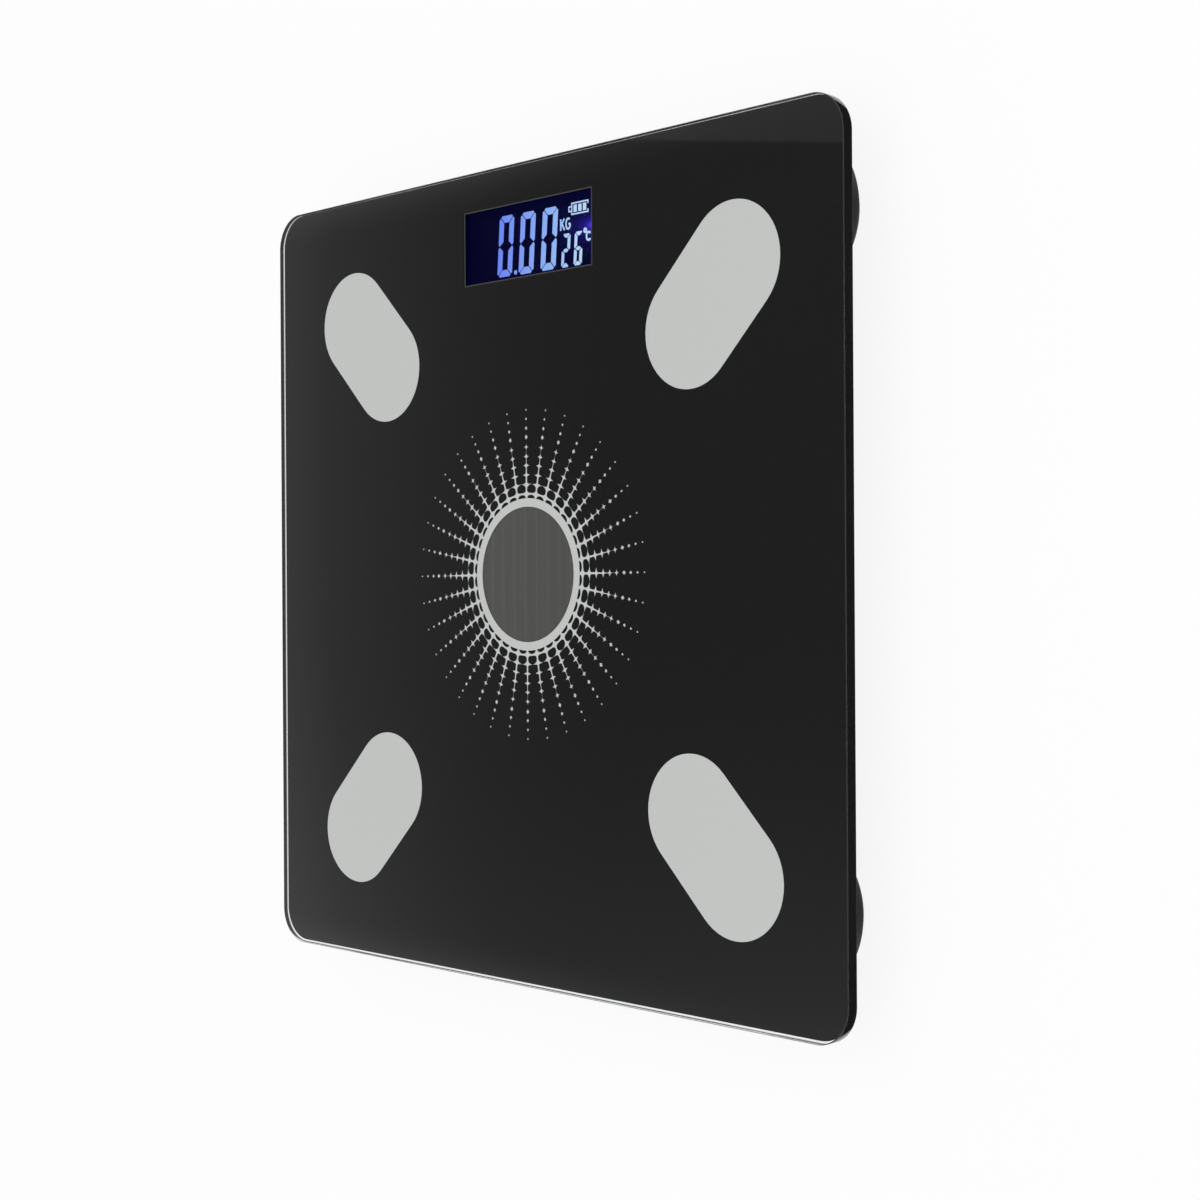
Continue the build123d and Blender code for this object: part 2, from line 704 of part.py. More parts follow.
def add_leaf(end, row_y):
    """Adds one folded leaf: up the end wall of the bay, over, and down to the middle of the cell's end."""
    wall_x = bay_width / 2 - contact_thickness / 2
    tip_x = battery_length / 2 + contact_tip_gap + contact_thickness / 2
    low = battery_level - contact_height / 2
    high = battery_level + contact_height / 2
    with BuildSketch(Plane.XZ.offset(-row_y - contact_width / 2)) as leaf:
        with BuildLine():
            FilletPolyline(
                (end * wall_x, low),
                (end * wall_x, high),
                (end * (wall_x - contact_fold), high),
                (end * tip_x, battery_level),
                (end * (tip_x + contact_fold), battery_level - contact_height / 4),
                radius=contact_bend_radius,
            )
        trace(line_width=contact_thickness)
    extrude(leaf.sketch, amount=contact_width)


# Link contact at the left end, joined across both cells
with BuildPart() as battery_contact_link:
    for row_y in battery_rows.values():
        add_leaf(-1, row_y)
    with BuildSketch(Plane.XY.offset(battery_level - contact_height / 2)):
        with Locations((-bay_width / 2, bay_y)):
            Rectangle(contact_thickness, battery_diameter + battery_spacing, align=(Align.MIN, Align.CENTER))
    extrude(amount=contact_height / 2)
battery_contact_link.part.label = "battery_contact_link"
export_step(battery_contact_link.part, "parts/battery_contact_link.step")

# End contacts at the right, each with a solder tab through the bay's wall
tab_reach = {"front": front_tab_reach, "rear": rear_tab_reach}
contact_names = {"front": "battery_contact_positive", "rear": "battery_contact_negative"}
for row, row_y in battery_rows.items():
    with BuildPart() as battery_contact:
        add_leaf(1, row_y)
        with BuildSketch(Plane.XY.offset(contact_tab_top - contact_thickness)):
            with Locations((bay_width / 2 - contact_thickness, row_y)):
                Rectangle(
                    contact_thickness + bay_wall + tab_reach[row],
                    contact_tab_width,
                    align=(Align.MIN, Align.CENTER),
                )
        extrude(amount=contact_thickness)
    battery_contact.part.label = contact_names[row]
    export_step(battery_contact.part, f"parts/{contact_names[row]}.step")

# Foam gasket between the print and the display frame
with BuildPart() as lcd_gasket:
    with BuildSketch(Plane.XY.offset(lcd_frame_top)):
        with Locations((display_x, display_y)):
            Rectangle(
                display_window_width + 2 * lcd_gasket_side_rim,
                display_window_height + 2 * lcd_gasket_end_rim,
            )
            Rectangle(
                display_window_width + 2 * lcd_gasket_window_margin,
                display_window_height + 2 * lcd_gasket_window_margin,
                mode=Mode.SUBTRACT,
            )
    extrude(amount=lcd_gasket_thickness)
lcd_gasket.part.label = "lcd_gasket"
export_step(lcd_gasket.part, "parts/lcd_gasket.step")

# Display frame: a box round the display with a lip over its border and pegs through the board
with BuildPart() as lcd_frame:
    with BuildSketch(Plane.XY.offset(board_top)):
        with Locations((0, lcd_y)):
            Rectangle(frame_width, frame_rear - frame_front)
    extrude(amount=lcd_frame_top - board_top)
    with BuildSketch(Plane.XY.offset(board_top)):
        with Locations((0, lcd_y)):
            Rectangle(lcd_width + 2 * lcd_clearance, lcd_depth + 2 * lcd_clearance)
    extrude(amount=lcd_top + lcd_seat_gap - board_top, mode=Mode.SUBTRACT)
    with BuildSketch(Plane.XY.offset(lcd_top)):
        with Locations((display_x, display_y)):
            Rectangle(
                display_window_width + 2 * lcd_frame_window_margin,
                display_window_height + 2 * lcd_frame_window_margin,
            )
    extrude(amount=lcd_frame_top - lcd_top, mode=Mode.SUBTRACT)
    with BuildSketch(Plane.XY.offset(board_bottom - frame_peg_stick_out)):
        with Locations(*peg_places):
            Circle(frame_peg_radius)
    extrude(amount=board_thickness + frame_peg_stick_out)
lcd_frame.part.label = "lcd_frame"
export_step(lcd_frame.part, "parts/lcd_frame.step")

# Liquid-crystal panel
with BuildPart() as lcd_panel:
    with BuildSketch(Plane.XY.offset(lcd_bottom)):
        with Locations((0, lcd_y)):
            Rectangle(lcd_width, lcd_depth)
    extrude(amount=lcd_thickness)
lcd_panel.part.label = "lcd_panel"
export_step(lcd_panel.part, "parts/lcd_panel.step")

# Light guide under the panel, with its lamp at the right-hand end
guide_front = lcd_front + zebra_width + 2 * lcd_clearance
guide_length = lcd_width - 2 * backlight_end_gap
with BuildPart() as lcd_backlight:
    with BuildSketch(Plane.XY.offset(board_top + lcd_seat_gap)):
        with Locations((0, guide_front)):
            Rectangle(guide_length, lcd_rear - guide_front, align=(Align.CENTER, Align.MIN))
    extrude(amount=backlight_thickness)
lcd_backlight.part.label = "lcd_backlight"
export_step(lcd_backlight.part, "parts/lcd_backlight.step")

with BuildPart() as backlight_led:
    with BuildSketch(Plane.XY.offset(board_top)):
        with Locations((guide_length / 2 + lcd_seat_gap, display_y)):
            Rectangle(led_length, led_width, align=(Align.MIN, Align.CENTER))
    extrude(amount=led_height)
backlight_led.part.label = "backlight_led"
export_step(backlight_led.part, "parts/backlight_led.step")

# Zebra strip: an elastomer bar pressed between the board and the panel's contact edge
with BuildPart() as zebra_strip:
    with BuildSketch(Plane.XY.offset(board_top)):
        with Locations((0, lcd_front)):
            Rectangle(lcd_width - 2 * zebra_end_gap, zebra_width, align=(Align.CENTER, Align.MIN))
    extrude(amount=lcd_bottom - board_top)
zebra_strip.part.label = "zebra_strip"
export_step(zebra_strip.part, "parts/zebra_strip.step")

# Circuit board on the bosses
with BuildPart() as main_board:
    with BuildSketch(Plane.XY.offset(board_bottom)):
        with Locations((0, board_y)):
            RectangleRounded(board_width, board_depth, housing_corner_radius - housing_wall)
        with Locations(*boss_places):
            Circle(screw_radius + screw_hole_clearance, mode=Mode.SUBTRACT)
        with Locations(*peg_places):
            Circle(frame_peg_radius + frame_peg_clearance, mode=Mode.SUBTRACT)
    extrude(amount=board_thickness)
main_board.part.label = "main_board"
export_step(main_board.part, "parts/main_board.step")

# Four screws through the board into the bosses
with BuildPart() as board_screws:
    with BuildSketch(Plane.XY.offset(board_top)):
        with Locations(*boss_places):
            Circle(screw_head_radius)
    extrude(amount=screw_head_height)
    fillet(board_screws.edges().group_by(Axis.Z)[-1], screw_head_height / 2)
    with BuildSketch(Plane.XY.offset(board_top + screw_head_height - screw_cross_depth)):
        with Locations(*boss_places):
            Rectangle(screw_cross_length, screw_cross_width)
            Rectangle(screw_cross_width, screw_cross_length)
    extrude(amount=screw_cross_depth, mode=Mode.SUBTRACT)
    with BuildSketch(Plane.XY.offset(board_top - screw_length)):
        with Locations(*boss_places):
            Circle(screw_radius)
    extrude(amount=screw_length)
board_screws.part.label = "board_screws"
export_step(board_screws.part, "parts/board_screws.step")

# Controller chip: a round drop of potting on the underside of the board
blob_sphere = (chip_blob_radius**2 + chip_blob_height**2) / (2 * chip_blob_height)
with BuildPart() as controller_chip:
    with BuildSketch(Plane.XZ.offset(-board_y)):
        with BuildLine():
            Line((chip_blob_x, board_bottom), (chip_blob_x + chip_blob_radius, board_bottom))
            RadiusArc(
                (chip_blob_x + chip_blob_radius, board_bottom),
                (chip_blob_x, board_bottom - chip_blob_height),
                blob_sphere,
            )
            Line((chip_blob_x, board_bottom - chip_blob_height), (chip_blob_x, board_bottom))
        make_face()
    revolve(axis=Axis((chip_blob_x, board_y, 0), (0, 0, 1)))
controller_chip.part.label = "controller_chip"
export_step(controller_chip.part, "parts/controller_chip.step")

# Chip resistors and capacitors in two rows beside the controller
with BuildPart() as chip_parts:
    with BuildSketch(Plane.XY.offset(board_bottom)):
        with Locations((chip_part_x, board_y)):
            with GridLocations(chip_part_pitch, chip_part_pitch, chip_part_columns, chip_part_rows):
                Rectangle(chip_part_length, chip_part_width)
    extrude(amount=-chip_part_height)
chip_parts.part.label = "chip_parts"
export_step(chip_parts.part, "parts/chip_parts.step")

# Thermistor: a rounded bead on two legs at the front edge of the board
thermistor_y = board_front + lead_landing
with BuildPart() as thermistor:
    with BuildSketch(Plane.XY.offset(board_top + thermistor_leg_length)):
        with Locations((thermistor_x, thermistor_y)):
            Circle(thermistor_radius)
    extrude(amount=thermistor_height)
    fillet(thermistor.edges().group_by(Axis.Z)[-1], thermistor_edge_radius)
    with BuildSketch(Plane.XY.offset(board_top)):
        with Locations((thermistor_x, thermistor_y)):
            with GridLocations(thermistor_leg_spread, 0, 2, 1):
                Circle(thermistor_leg_radius)
    extrude(amount=thermistor_leg_length)
thermistor.part.label = "thermistor"
export_step(thermistor.part, "parts/thermistor.step")

# Tact switch under the board, with a bore for its plunger
switch_bottom = board_bottom - switch_height
with BuildPart() as tact_switch:
    with BuildSketch(Plane.XY.offset(switch_bottom)):
        with Locations((button_x, button_y)):
            Rectangle(switch_size, switch_size)
    extrude(amount=switch_height)
    with BuildSketch(Plane.XY.offset(switch_bottom)):
        with Locations((button_x, button_y)):
            Circle(plunger_radius + plunger_clearance)
    extrude(amount=plunger_engagement + switch_travel + 2 * plunger_clearance, mode=Mode.SUBTRACT)
tact_switch.part.label = "tact_switch"
export_step(tact_switch.part, "parts/tact_switch.step")

# Unit button: a round cap through the housing floor, with a flange that keeps it in
button_flange_bottom = housing_floor_top + button_seat_gap
button_top = button_flange_bottom + button_flange
with BuildPart() as unit_button:
    with BuildSketch(Plane.XY.offset(housing_bottom - button_stick_out)):
        with Locations((button_x, button_y)):
            Circle(button_radius)
    extrude(amount=button_top - housing_bottom + button_stick_out)
    fillet(unit_button.edges().group_by(Axis.Z)[0], button_edge_radius)
    with BuildSketch(Plane.XY.offset(button_flange_bottom)):
        with Locations((button_x, button_y)):
            Circle(button_flange_radius)
    extrude(amount=button_flange)
unit_button.part.label = "unit_button"
export_step(unit_button.part, "parts/unit_button.step")

# Plunger of the switch, standing on the button
plunger_top = switch_bottom + plunger_engagement
with BuildPart() as switch_plunger:
    with BuildSketch(Plane.XY.offset(button_top)):
        with Locations((button_x, button_y)):
            Circle(plunger_radius)
    extrude(amount=plunger_top - button_top)
switch_plunger.part.label = "switch_plunger"
export_step(switch_plunger.part, "parts/switch_plunger.step")

# Sense wires: three from each gauge, up through the holder's roof, under the glass and down to the board
gauge_y = front_foot_y + gauge_wire_reach
front_turn_y = gauge_y + front_wire_run
front_entry_y = housing_front - front_wire_entry_run
front_landing_y = board_front + front_wire_drop_inset
rear_landing_x = housing_inner_width / 2 - rear_wire_drop_inset


def front_route(side, shift):
    """Points of a front foot's wire: to the rear, slanting in, then into the housing beside the bay."""
    start_x = side * (foot_x + shift)
    entry_x = side * (front_wire_x + shift)
    return [
        (start_x, gauge_y, gauge_top),
        (start_x, gauge_y, wire_level),
        (start_x, front_turn_y, wire_level),
        (entry_x, front_entry_y, wire_level),
        (entry_x, front_landing_y, wire_level),
        (entry_x, front_landing_y, board_top),
    ]


def rear_route(side, shift):
    """Points of a rear foot's wire: straight across into the side of the housing."""
    start_x = side * (foot_x - gauge_wire_reach)
    landing_x = side * rear_landing_x
    return [
        (start_x, rear_foot_y + shift, gauge_top),
        (start_x, rear_foot_y + shift, wire_level),
        (landing_x, rear_foot_y + shift, wire_level),
        (landing_x, rear_foot_y + shift, board_top),
    ]


wire_lanes = {"red": -wire_pitch, "black": 0, "white": wire_pitch}
for colour, shift in wire_lanes.items():
    with BuildPart() as sense_wires:
        for side, end in corners.values():
            points = rear_route(side, shift) if end > 0 else front_route(side, shift)
            bends = [widest_radius(*points[i - 1 : i + 2]) for i in range(2, len(points) - 2)]
            radii = [wire_drop_radius, *bends, wire_drop_radius]
            print(f"sense wire {colour}, corner radii:", [round(radius, 1) for radius in radii])
            add_wire(points, radii)
    sense_wires.part.label = f"sense_wires_{colour}"
    export_step(sense_wires.part, f"parts/sense_wires_{colour}.step")

# Solar leads: out of the dish, into the housing beside the bay and down to the board
solar_turn_y = solar_lead_x * tan(radians(solar_exit_angle))
lead_landing_y = board_front + lead_landing
for colour, shift in {"red": -wire_pitch / 2, "black": wire_pitch / 2}.items():
    start_x = solar_lead_start_radius * cos(radians(solar_exit_angle)) + shift
    start_y = solar_lead_start_radius * sin(radians(solar_exit_angle))
    points = [
        (start_x, start_y, solar_lead_level),
        (solar_lead_x + shift, solar_turn_y, solar_lead_level),
        (solar_lead_x + shift, lead_landing_y, solar_lead_level),
        (solar_lead_x + shift, lead_landing_y, board_top),
    ]
    radii = [widest_radius(*points[:3]), wire_drop_radius]
    print(f"solar lead {colour}, corner radii:", [round(radius, 1) for radius in radii])
    with BuildPart() as solar_lead:
        add_wire(points, radii)
    solar_lead.part.label = f"solar_lead_{colour}"
    export_step(solar_lead.part, f"parts/solar_lead_{colour}.step")

# Battery leads: straight from the solder tabs to the front edge of the board
lead_level = contact_tab_top + wire_radius
lead_colours = {"front": "red", "rear": "black"}
for row, row_y in battery_rows.items():
    lead_x = bay_width / 2 + bay_wall + tab_reach[row] - lead_tab_inset
    with BuildPart() as battery_lead:
        with BuildSketch(Plane.XZ.offset(-row_y + contact_tab_width / 2)):
            with Locations((lead_x, lead_level)):
                Circle(wire_radius)
        extrude(amount=-(lead_landing_y - row_y + contact_tab_width / 2))
    battery_lead.part.label = f"battery_lead_{lead_colours[row]}"
    export_step(battery_lead.part, f"parts/battery_lead_{lead_colours[row]}.step")

# Wire clips: saddles glued over the wires, two on each front run and one on each rear run
clip_places = []
for side in (-1, 1):
    front_run = Vector(side * (front_wire_x - foot_x), front_entry_y - front_turn_y)
    for share in front_clip_shares:
        clip_places.append((Vector(side * foot_x, front_turn_y) + front_run * share, front_run))
    rear_clip_x = (foot_x - foot_holder_radius + housing_width / 2 + housing_flange_width) / 2
    clip_places.append((Vector(side * rear_clip_x, rear_foot_y), Vector(1, 0)))
clip_bottom = wire_level - wire_radius - wire_slack - clip_bridge
with BuildPart() as wire_clips:
    for place, run in clip_places:
        clip_plane = Plane(origin=(place.X, place.Y, clip_bottom), x_dir=(run.X, run.Y, 0))
        with BuildSketch(clip_plane):
            Rectangle(clip_length, wire_channel + 2 * clip_foot)
        extrude(amount=underside - clip_bottom)
    fillet(wire_clips.edges().group_by(Axis.Z)[0], clip_edge_radius)
    for place, run in clip_places:
        channel_plane = Plane(origin=(place.X, place.Y, clip_bottom + clip_bridge), x_dir=(run.X, run.Y, 0))
        with BuildSketch(channel_plane):
            Rectangle(clip_length, wire_channel)
        extrude(amount=underside - clip_bottom - clip_bridge, mode=Mode.SUBTRACT)
wire_clips.part.label = "wire_clips"
export_step(wire_clips.part, "parts/wire_clips.step")
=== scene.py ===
from math import pi, radians

import bpy
import numpy as np
from mathutils import Matrix, Vector


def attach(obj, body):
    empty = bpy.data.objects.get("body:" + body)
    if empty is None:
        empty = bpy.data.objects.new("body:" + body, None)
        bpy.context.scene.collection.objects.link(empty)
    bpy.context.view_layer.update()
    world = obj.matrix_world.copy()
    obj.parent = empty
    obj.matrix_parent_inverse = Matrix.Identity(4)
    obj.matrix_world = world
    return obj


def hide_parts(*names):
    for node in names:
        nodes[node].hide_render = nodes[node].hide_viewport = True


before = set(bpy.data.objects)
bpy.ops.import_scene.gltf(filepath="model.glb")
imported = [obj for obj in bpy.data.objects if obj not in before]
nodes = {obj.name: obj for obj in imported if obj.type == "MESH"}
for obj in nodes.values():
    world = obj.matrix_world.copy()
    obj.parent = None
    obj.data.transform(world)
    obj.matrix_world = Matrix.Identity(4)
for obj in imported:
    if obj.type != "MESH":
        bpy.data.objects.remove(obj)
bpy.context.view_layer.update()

# Glass plate: a square of clear tempered float glass, cut with round corners, that the user stands on.
# Its faces are fire-polished, and its edges are ground flat with a fine bevel round both faces.
# It is drawn again with finer corners, and reaches 0.02 mm into the ink that is fused to its underside.
mm = 0.001
glass_half = 130.0
glass_corner = 11.5
glass_bevel = 0.3
glass_bottom, glass_top = 18.98, 23.0
corner_steps, bevel_steps = 24, 8
bevel_power = 1.3


def linear(code):
    """An sRGB hex colour as linear RGBA: each channel goes through the sRGB transfer curve."""
    share = np.array([int(code[i : i + 2], 16) for i in (1, 3, 5)]) / 255
    flat = np.where(share <= 0.04045, share / 12.92, ((share + 0.055) / 1.055) ** 2.4)
    return (*flat.tolist(), 1.0)


def add_node(tree, kind, inputs=None, stops=(), **options):
    """Adds a node with its options, sets each input to a value or links it to another node's output, and
    gives a colour ramp its stops, each of them a place from 0 to 1 and a colour."""
    made = tree.nodes.new("ShaderNode" + kind)
    for option, value in options.items():
        setattr(made, option, value)
    for socket, value in (inputs or {}).items():
        if isinstance(value, bpy.types.NodeSocket):
            tree.links.new(value, made.inputs[socket])
        else:
            made.inputs[socket].default_value = value
    for _ in stops[2:]:
        made.color_ramp.elements.new(0.5)
    for step, (at, code) in enumerate(stops):
        made.color_ramp.elements[step].position = at
        made.color_ramp.elements[step].color = linear(code)
    return made


def new_finish(name, sockets):
    """A material of one shader with these values on its own sockets, with its node tree, its shader and the
    Object coordinates of the piece."""
    material = bpy.data.materials.new(name)
    material.use_nodes = True
    tree = material.node_tree
    shader = tree.nodes["Principled BSDF"]
    for socket, value in sockets.items():
        shader.inputs[socket].default_value = value
    place = add_node(tree, "TexCoord").outputs["Object"]
    return material, tree, shader, place


def skin(name, loops, material, smooth=False):
    """A closed body over loops[piece, station, corner, xyz]: a quad joins two neighbouring corners of two
    neighbouring stations, and a flat cap closes the first and the last station of every piece."""
    pieces, stations, corners = loops.shape[:3]
    index = np.arange(pieces * stations * corners).reshape(pieces, stations, corners)
    here, along = index[:, :-1], index[:, 1:]
    quads = np.stack([here, np.roll(here, -1, 2), np.roll(along, -1, 2), along], -1).reshape(-1, 4)
    caps = np.concatenate([index[:, 0, ::-1], index[:, -1]])
    mesh = bpy.data.meshes.new(name)
    mesh.from_pydata((loops.reshape(-1, 3) * mm).tolist(), [], quads.tolist() + caps.tolist())
    mesh.polygons.foreach_set("use_smooth", [smooth] * len(quads) + [False] * len(caps))
    mesh.materials.append(material)
    piece = bpy.data.objects.new(name, mesh)
    bpy.context.scene.collection.objects.link(piece)
    return piece


def rounded_square(half, corner, inset):
    """Outline of a rounded square at each inset: the centre of a quarter's corner arc, plus the corner radius
    less the inset in the direction of the angle, for angles all the way round."""
    angle = np.linspace(0, 2 * pi, 4 * corner_steps, endpoint=False) + pi / 4 / corner_steps
    way = np.stack([np.cos(angle), np.sin(angle)], -1)
    return np.sign(way) * (half - corner) + (corner - np.asarray(inset)[:, None, None]) * way


# Float glass is clear, with a trace of green, and as smooth as a mirror apart from the smears of bare feet.
# The ground edge is slightly matt and grey, so it stays dark where nothing bright stands beside it.
smear_size = 45.0
smear_roughness = 0.02
ground_roughness = 0.12
mask_blur = 0.1 * glass_bevel
flat_half = (glass_half - glass_corner) * mm
float_glass, tree, shader, place = new_finish("float_glass", {"IOR": 1.52, "Transmission Weight": 1.0})
smear = add_node(tree, "TexNoise", {"Vector": place, "Scale": 1 / (smear_size * mm), "Detail": 5.0})
smear_gloss = add_node(
    tree,
    "MapRange",
    {
        "Value": smear.outputs["Fac"],
        "From Min": 0.45,
        "From Max": 0.8,
        "To Min": 0.0,
        "To Max": smear_roughness,
    },
)
# The distance from the nearest corner's centre, with the height taken out, tells the edge from the faces
past_flat = add_node(tree, "VectorMath", {0: place}, operation="ABSOLUTE")
past_flat = add_node(
    tree, "VectorMath", {0: past_flat.outputs[0], 1: (flat_half, flat_half, 1.0)}, operation="SUBTRACT"
)
past_flat = add_node(tree, "VectorMath", {0: past_flat.outputs[0], 1: (0.0, 0.0, 0.0)}, operation="MAXIMUM")
from_corner = add_node(tree, "VectorMath", {0: past_flat.outputs[0]}, operation="LENGTH")
ground = add_node(
    tree,
    "MapRange",
    {
        "Value": from_corner.outputs["Value"],
        "From Min": (glass_corner - glass_bevel - mask_blur) * mm,
        "From Max": (glass_corner - glass_bevel + mask_blur) * mm,
    },
)
glass_gloss = add_node(
    tree,
    "Math",
    {0: ground.outputs["Result"], 1: ground_roughness, 2: smear_gloss.outputs["Result"]},
    operation="MULTIPLY_ADD",
)
tree.links.new(glass_gloss.outputs[0], shader.inputs["Roughness"])
glass_tint = add_node(
    tree,
    "MixRGB",
    {"Fac": ground.outputs["Result"], "Color1": linear("#f8fbf9"), "Color2": linear("#9aa19d")},
)
tree.links.new(glass_tint.outputs["Color"], shader.inputs["Base Color"])

# The bevel is a superellipse, a little rounder than a straight chamfer, from the flat face to the ground edge
turn = np.linspace(0, pi / 2, bevel_steps)
bevel_inset = glass_bevel * (1 - np.sin(turn) ** (2 / bevel_power))
bevel_depth = glass_bevel * (1 - np.cos(turn) ** (2 / bevel_power))
inset = np.concatenate([bevel_inset, bevel_inset[::-1]])
height = np.concatenate([glass_bottom + bevel_depth, glass_top - bevel_depth[::-1]])
outline = rounded_square(glass_half, glass_corner, inset)
level = np.broadcast_to(height[:, None, None], (*outline.shape[:2], 1))
glass_plate = skin("glass_plate", np.concatenate([outline, level], -1)[None], float_glass, smooth=True)
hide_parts("glass_platform")
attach(glass_plate, "platform")
# Lamp light goes straight through the clear plate to the print, as through a real one with no coloured edge
glass_plate.visible_shadow = False
glass_plate.visible_diffuse = False

# Silver print: the four bars, the ring and its sunburst, screen-printed on the glass before the black.
# The ink is a grey varnish full of aluminium flake, seen through the glass as an even light grey.
# The sunburst is 36 rays of four-pointed sparkles that shrink outwards, the first row joined into a ring.
flake_size = 0.5
silver_ink, tree, shader, place = new_finish("silver_ink", {"Roughness": 0.55, "Specular IOR Level": 0.05})
flake = add_node(tree, "TexNoise", {"Vector": place, "Scale": 1 / (flake_size * mm), "Detail": 3.0})
silver = add_node(
    tree,
    "MixRGB",
    {"Fac": flake.outputs["Fac"], "Color1": linear("#c3c4c3"), "Color2": linear("#cdcecd")},
)
tree.links.new(silver.outputs["Color"], shader.inputs["Base Color"])


def dress(material, *names):
    """Gives CAD nodes a material."""
    for name in names:
        nodes[name].active_material = material


dress(silver_ink, "silver_marks", "solar_ring")


def ribbon(path, half_width, bottom, top):
    """Loops of a flat strip along path[..., station, xy]: at each station the path's normal times the
    half-width goes to both sides, at the bottom level and at the top level."""
    way = np.gradient(path, axis=-2)
    way = way / np.linalg.norm(way, axis=-1, keepdims=True)
    side = np.stack([-way[..., 1], way[..., 0]], -1) * np.asarray(half_width)[..., None]
    left, right = path + side, path - side
    edges = np.stack([left, left, right, right], -2)
    levels = np.broadcast_to(np.array([bottom, top, top, bottom])[:, None], (*edges.shape[:-1], 1))
    return np.concatenate([edges, levels], -1)


ray_count = 36
ray_steps = 260
ring_edge, ray_end = 24.0, 41.2
printed_bottom, printed_top = 18.95, 19.01
ray_angle = np.arange(ray_count) * 2 * pi / ray_count + pi / 2
ray_way = np.stack([np.cos(ray_angle), np.sin(ray_angle)], -1)

# Half-width of a ray at each radius: the wider of its tapering stem and the hollow-sided arms of a sparkle,
# an arm being its reach times (1 - (distance from its row / its length) ^ p) ^ (1 / p), up to half the pitch.
# Nearest the ring the rays merge, and leave a row of half moons and a row of round holes, all superellipses.
joined_rows = np.array([28.45, 31.4, 34.4, 37.25, 40.2])
arm_reach = np.array([3.5, 2.2, 1.85, 1.6, 1.25])
arm_length = np.array([1.25, 1.3, 1.3, 1.3, 1.2])
arm_power = np.array([0.46, 0.52, 0.51, 0.48, 0.48])
stem_radii = [ring_edge, 26.0, 29.0, 32.0, 35.5, 38.0, ray_end]
stem_halves = [0.55, 0.4, 0.32, 0.25, 0.12, 0.03, 0.01]
moon_half, moon_depth, moon_power = 1.75, 1.12, 2.6
hole_half, hole_row, hole_depth, hole_power = 2.04, 26.98, 1.3, 2.7
merged_end = 28.2
radius = np.linspace(ring_edge, ray_end, ray_steps)
half_pitch = radius * pi / ray_count
stem = np.interp(radius, stem_radii, stem_halves)
off_row = np.clip(np.abs(radius[:, None] - joined_rows) / arm_length, 0, 1)
arm = (arm_reach * (1 - off_row**arm_power) ** (1 / arm_power)).max(axis=1)
moon = np.clip(1 - ((radius - ring_edge) / moon_depth) ** moon_power, 0, 1)
hole = np.clip(1 - np.abs((radius - hole_row) / hole_depth) ** hole_power, 0, 1)
merged = half_pitch - np.maximum(moon_half * moon ** (1 / moon_power), hole_half * hole ** (1 / hole_power))
ray_half = np.minimum(np.where(radius < merged_end, merged, np.maximum(stem, arm)), half_pitch)
ray_path = ray_way[:, None] * radius[None, :, None]
rays = ribbon(ray_path, np.tile(ray_half, (ray_count, 1)), printed_bottom, printed_top)
sunburst_rays = skin("sunburst_rays", rays, silver_ink)

# Single sparkles further out: the radius and the tangent carry a four-pointed star with hollow sides
single_rows = np.array([43.4, 46.2, 49.1, 52.0])
single_reach = np.array([0.7, 0.56, 0.43, 0.33])
star_corners = 16
star_power = 2.4
star_stretch = 1.15
star_angle = np.linspace(0, 2 * pi, star_corners, endpoint=False)
star = np.stack([np.cos(star_angle), np.sin(star_angle)], -1)
star = np.sign(star) * np.abs(star) ** star_power
outwards = ray_way[None, :, None]
tangent = np.stack([-ray_way[:, 1], ray_way[:, 0]], -1)[None, :, None]
centre = single_rows[:, None, None, None] * outwards
reach = single_reach[:, None, None, None]
stars = centre + reach * (star_stretch * star[:, :1] * outwards + star[:, 1:] * tangent)
stars = stars.reshape(-1, 1, star_corners, 2)


def prism(outlines, bottom, top):
    """Loops of flat plates: each outline[piece, 1, corner, xy] at the bottom level and at the top level."""
    stacked = np.repeat(outlines, 2, axis=1)
    levels = np.broadcast_to(np.array([bottom, top])[:, None, None], (*stacked.shape[:3], 1))
    return np.concatenate([stacked, levels], -1)


sunburst_stars = skin("sunburst_stars", prism(stars, printed_bottom, printed_top), silver_ink)
for piece in (sunburst_rays, sunburst_stars):
    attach(piece, "platform")

# Black print: the enamel that floods the rest of the underside, over the silver, fired with the glass.
# Through the glass it is a deep black, and from below it shows the satin, faintly meshed back of a print.
# Round the display window the ink's colour turns grey over its last half millimetre.
rim_width = 0.5
window_half_x, window_half_y, window_x, window_y = 29.55, 11.65, 0.55, 106.0
mesh_pitch = 0.8  # a real screen's threads are 0.1 mm apart, too fine to show
black_ink, tree, shader, place = new_finish("black_enamel_ink", {"Specular IOR Level": 0.05})
axes = add_node(tree, "SeparateXYZ", {"Vector": place})
beyond = []
for axis, middle, half in (("X", window_x, window_half_x), ("Y", window_y, window_half_y)):
    offset = add_node(tree, "Math", {0: axes.outputs[axis], 1: middle * mm}, operation="SUBTRACT")
    offset = add_node(tree, "Math", {0: offset.outputs[0]}, operation="ABSOLUTE")
    offset = add_node(tree, "Math", {0: offset.outputs[0], 1: half * mm}, operation="SUBTRACT")
    beyond.append(offset.outputs[0])
from_window = add_node(tree, "Math", {0: beyond[0], 1: beyond[1]}, operation="MAXIMUM")
rim = add_node(
    tree,
    "MapRange",
    {
        "Value": from_window.outputs[0],
        "From Min": rim_width / 2 * mm,
        "From Max": rim_width * mm,
        "To Min": 1.0,
        "To Max": 0.0,
    },
)
ink = add_node(
    tree,
    "MixRGB",
    {"Fac": rim.outputs["Result"], "Color1": linear("#1e1e1e"), "Color2": linear("#48484a")},
)
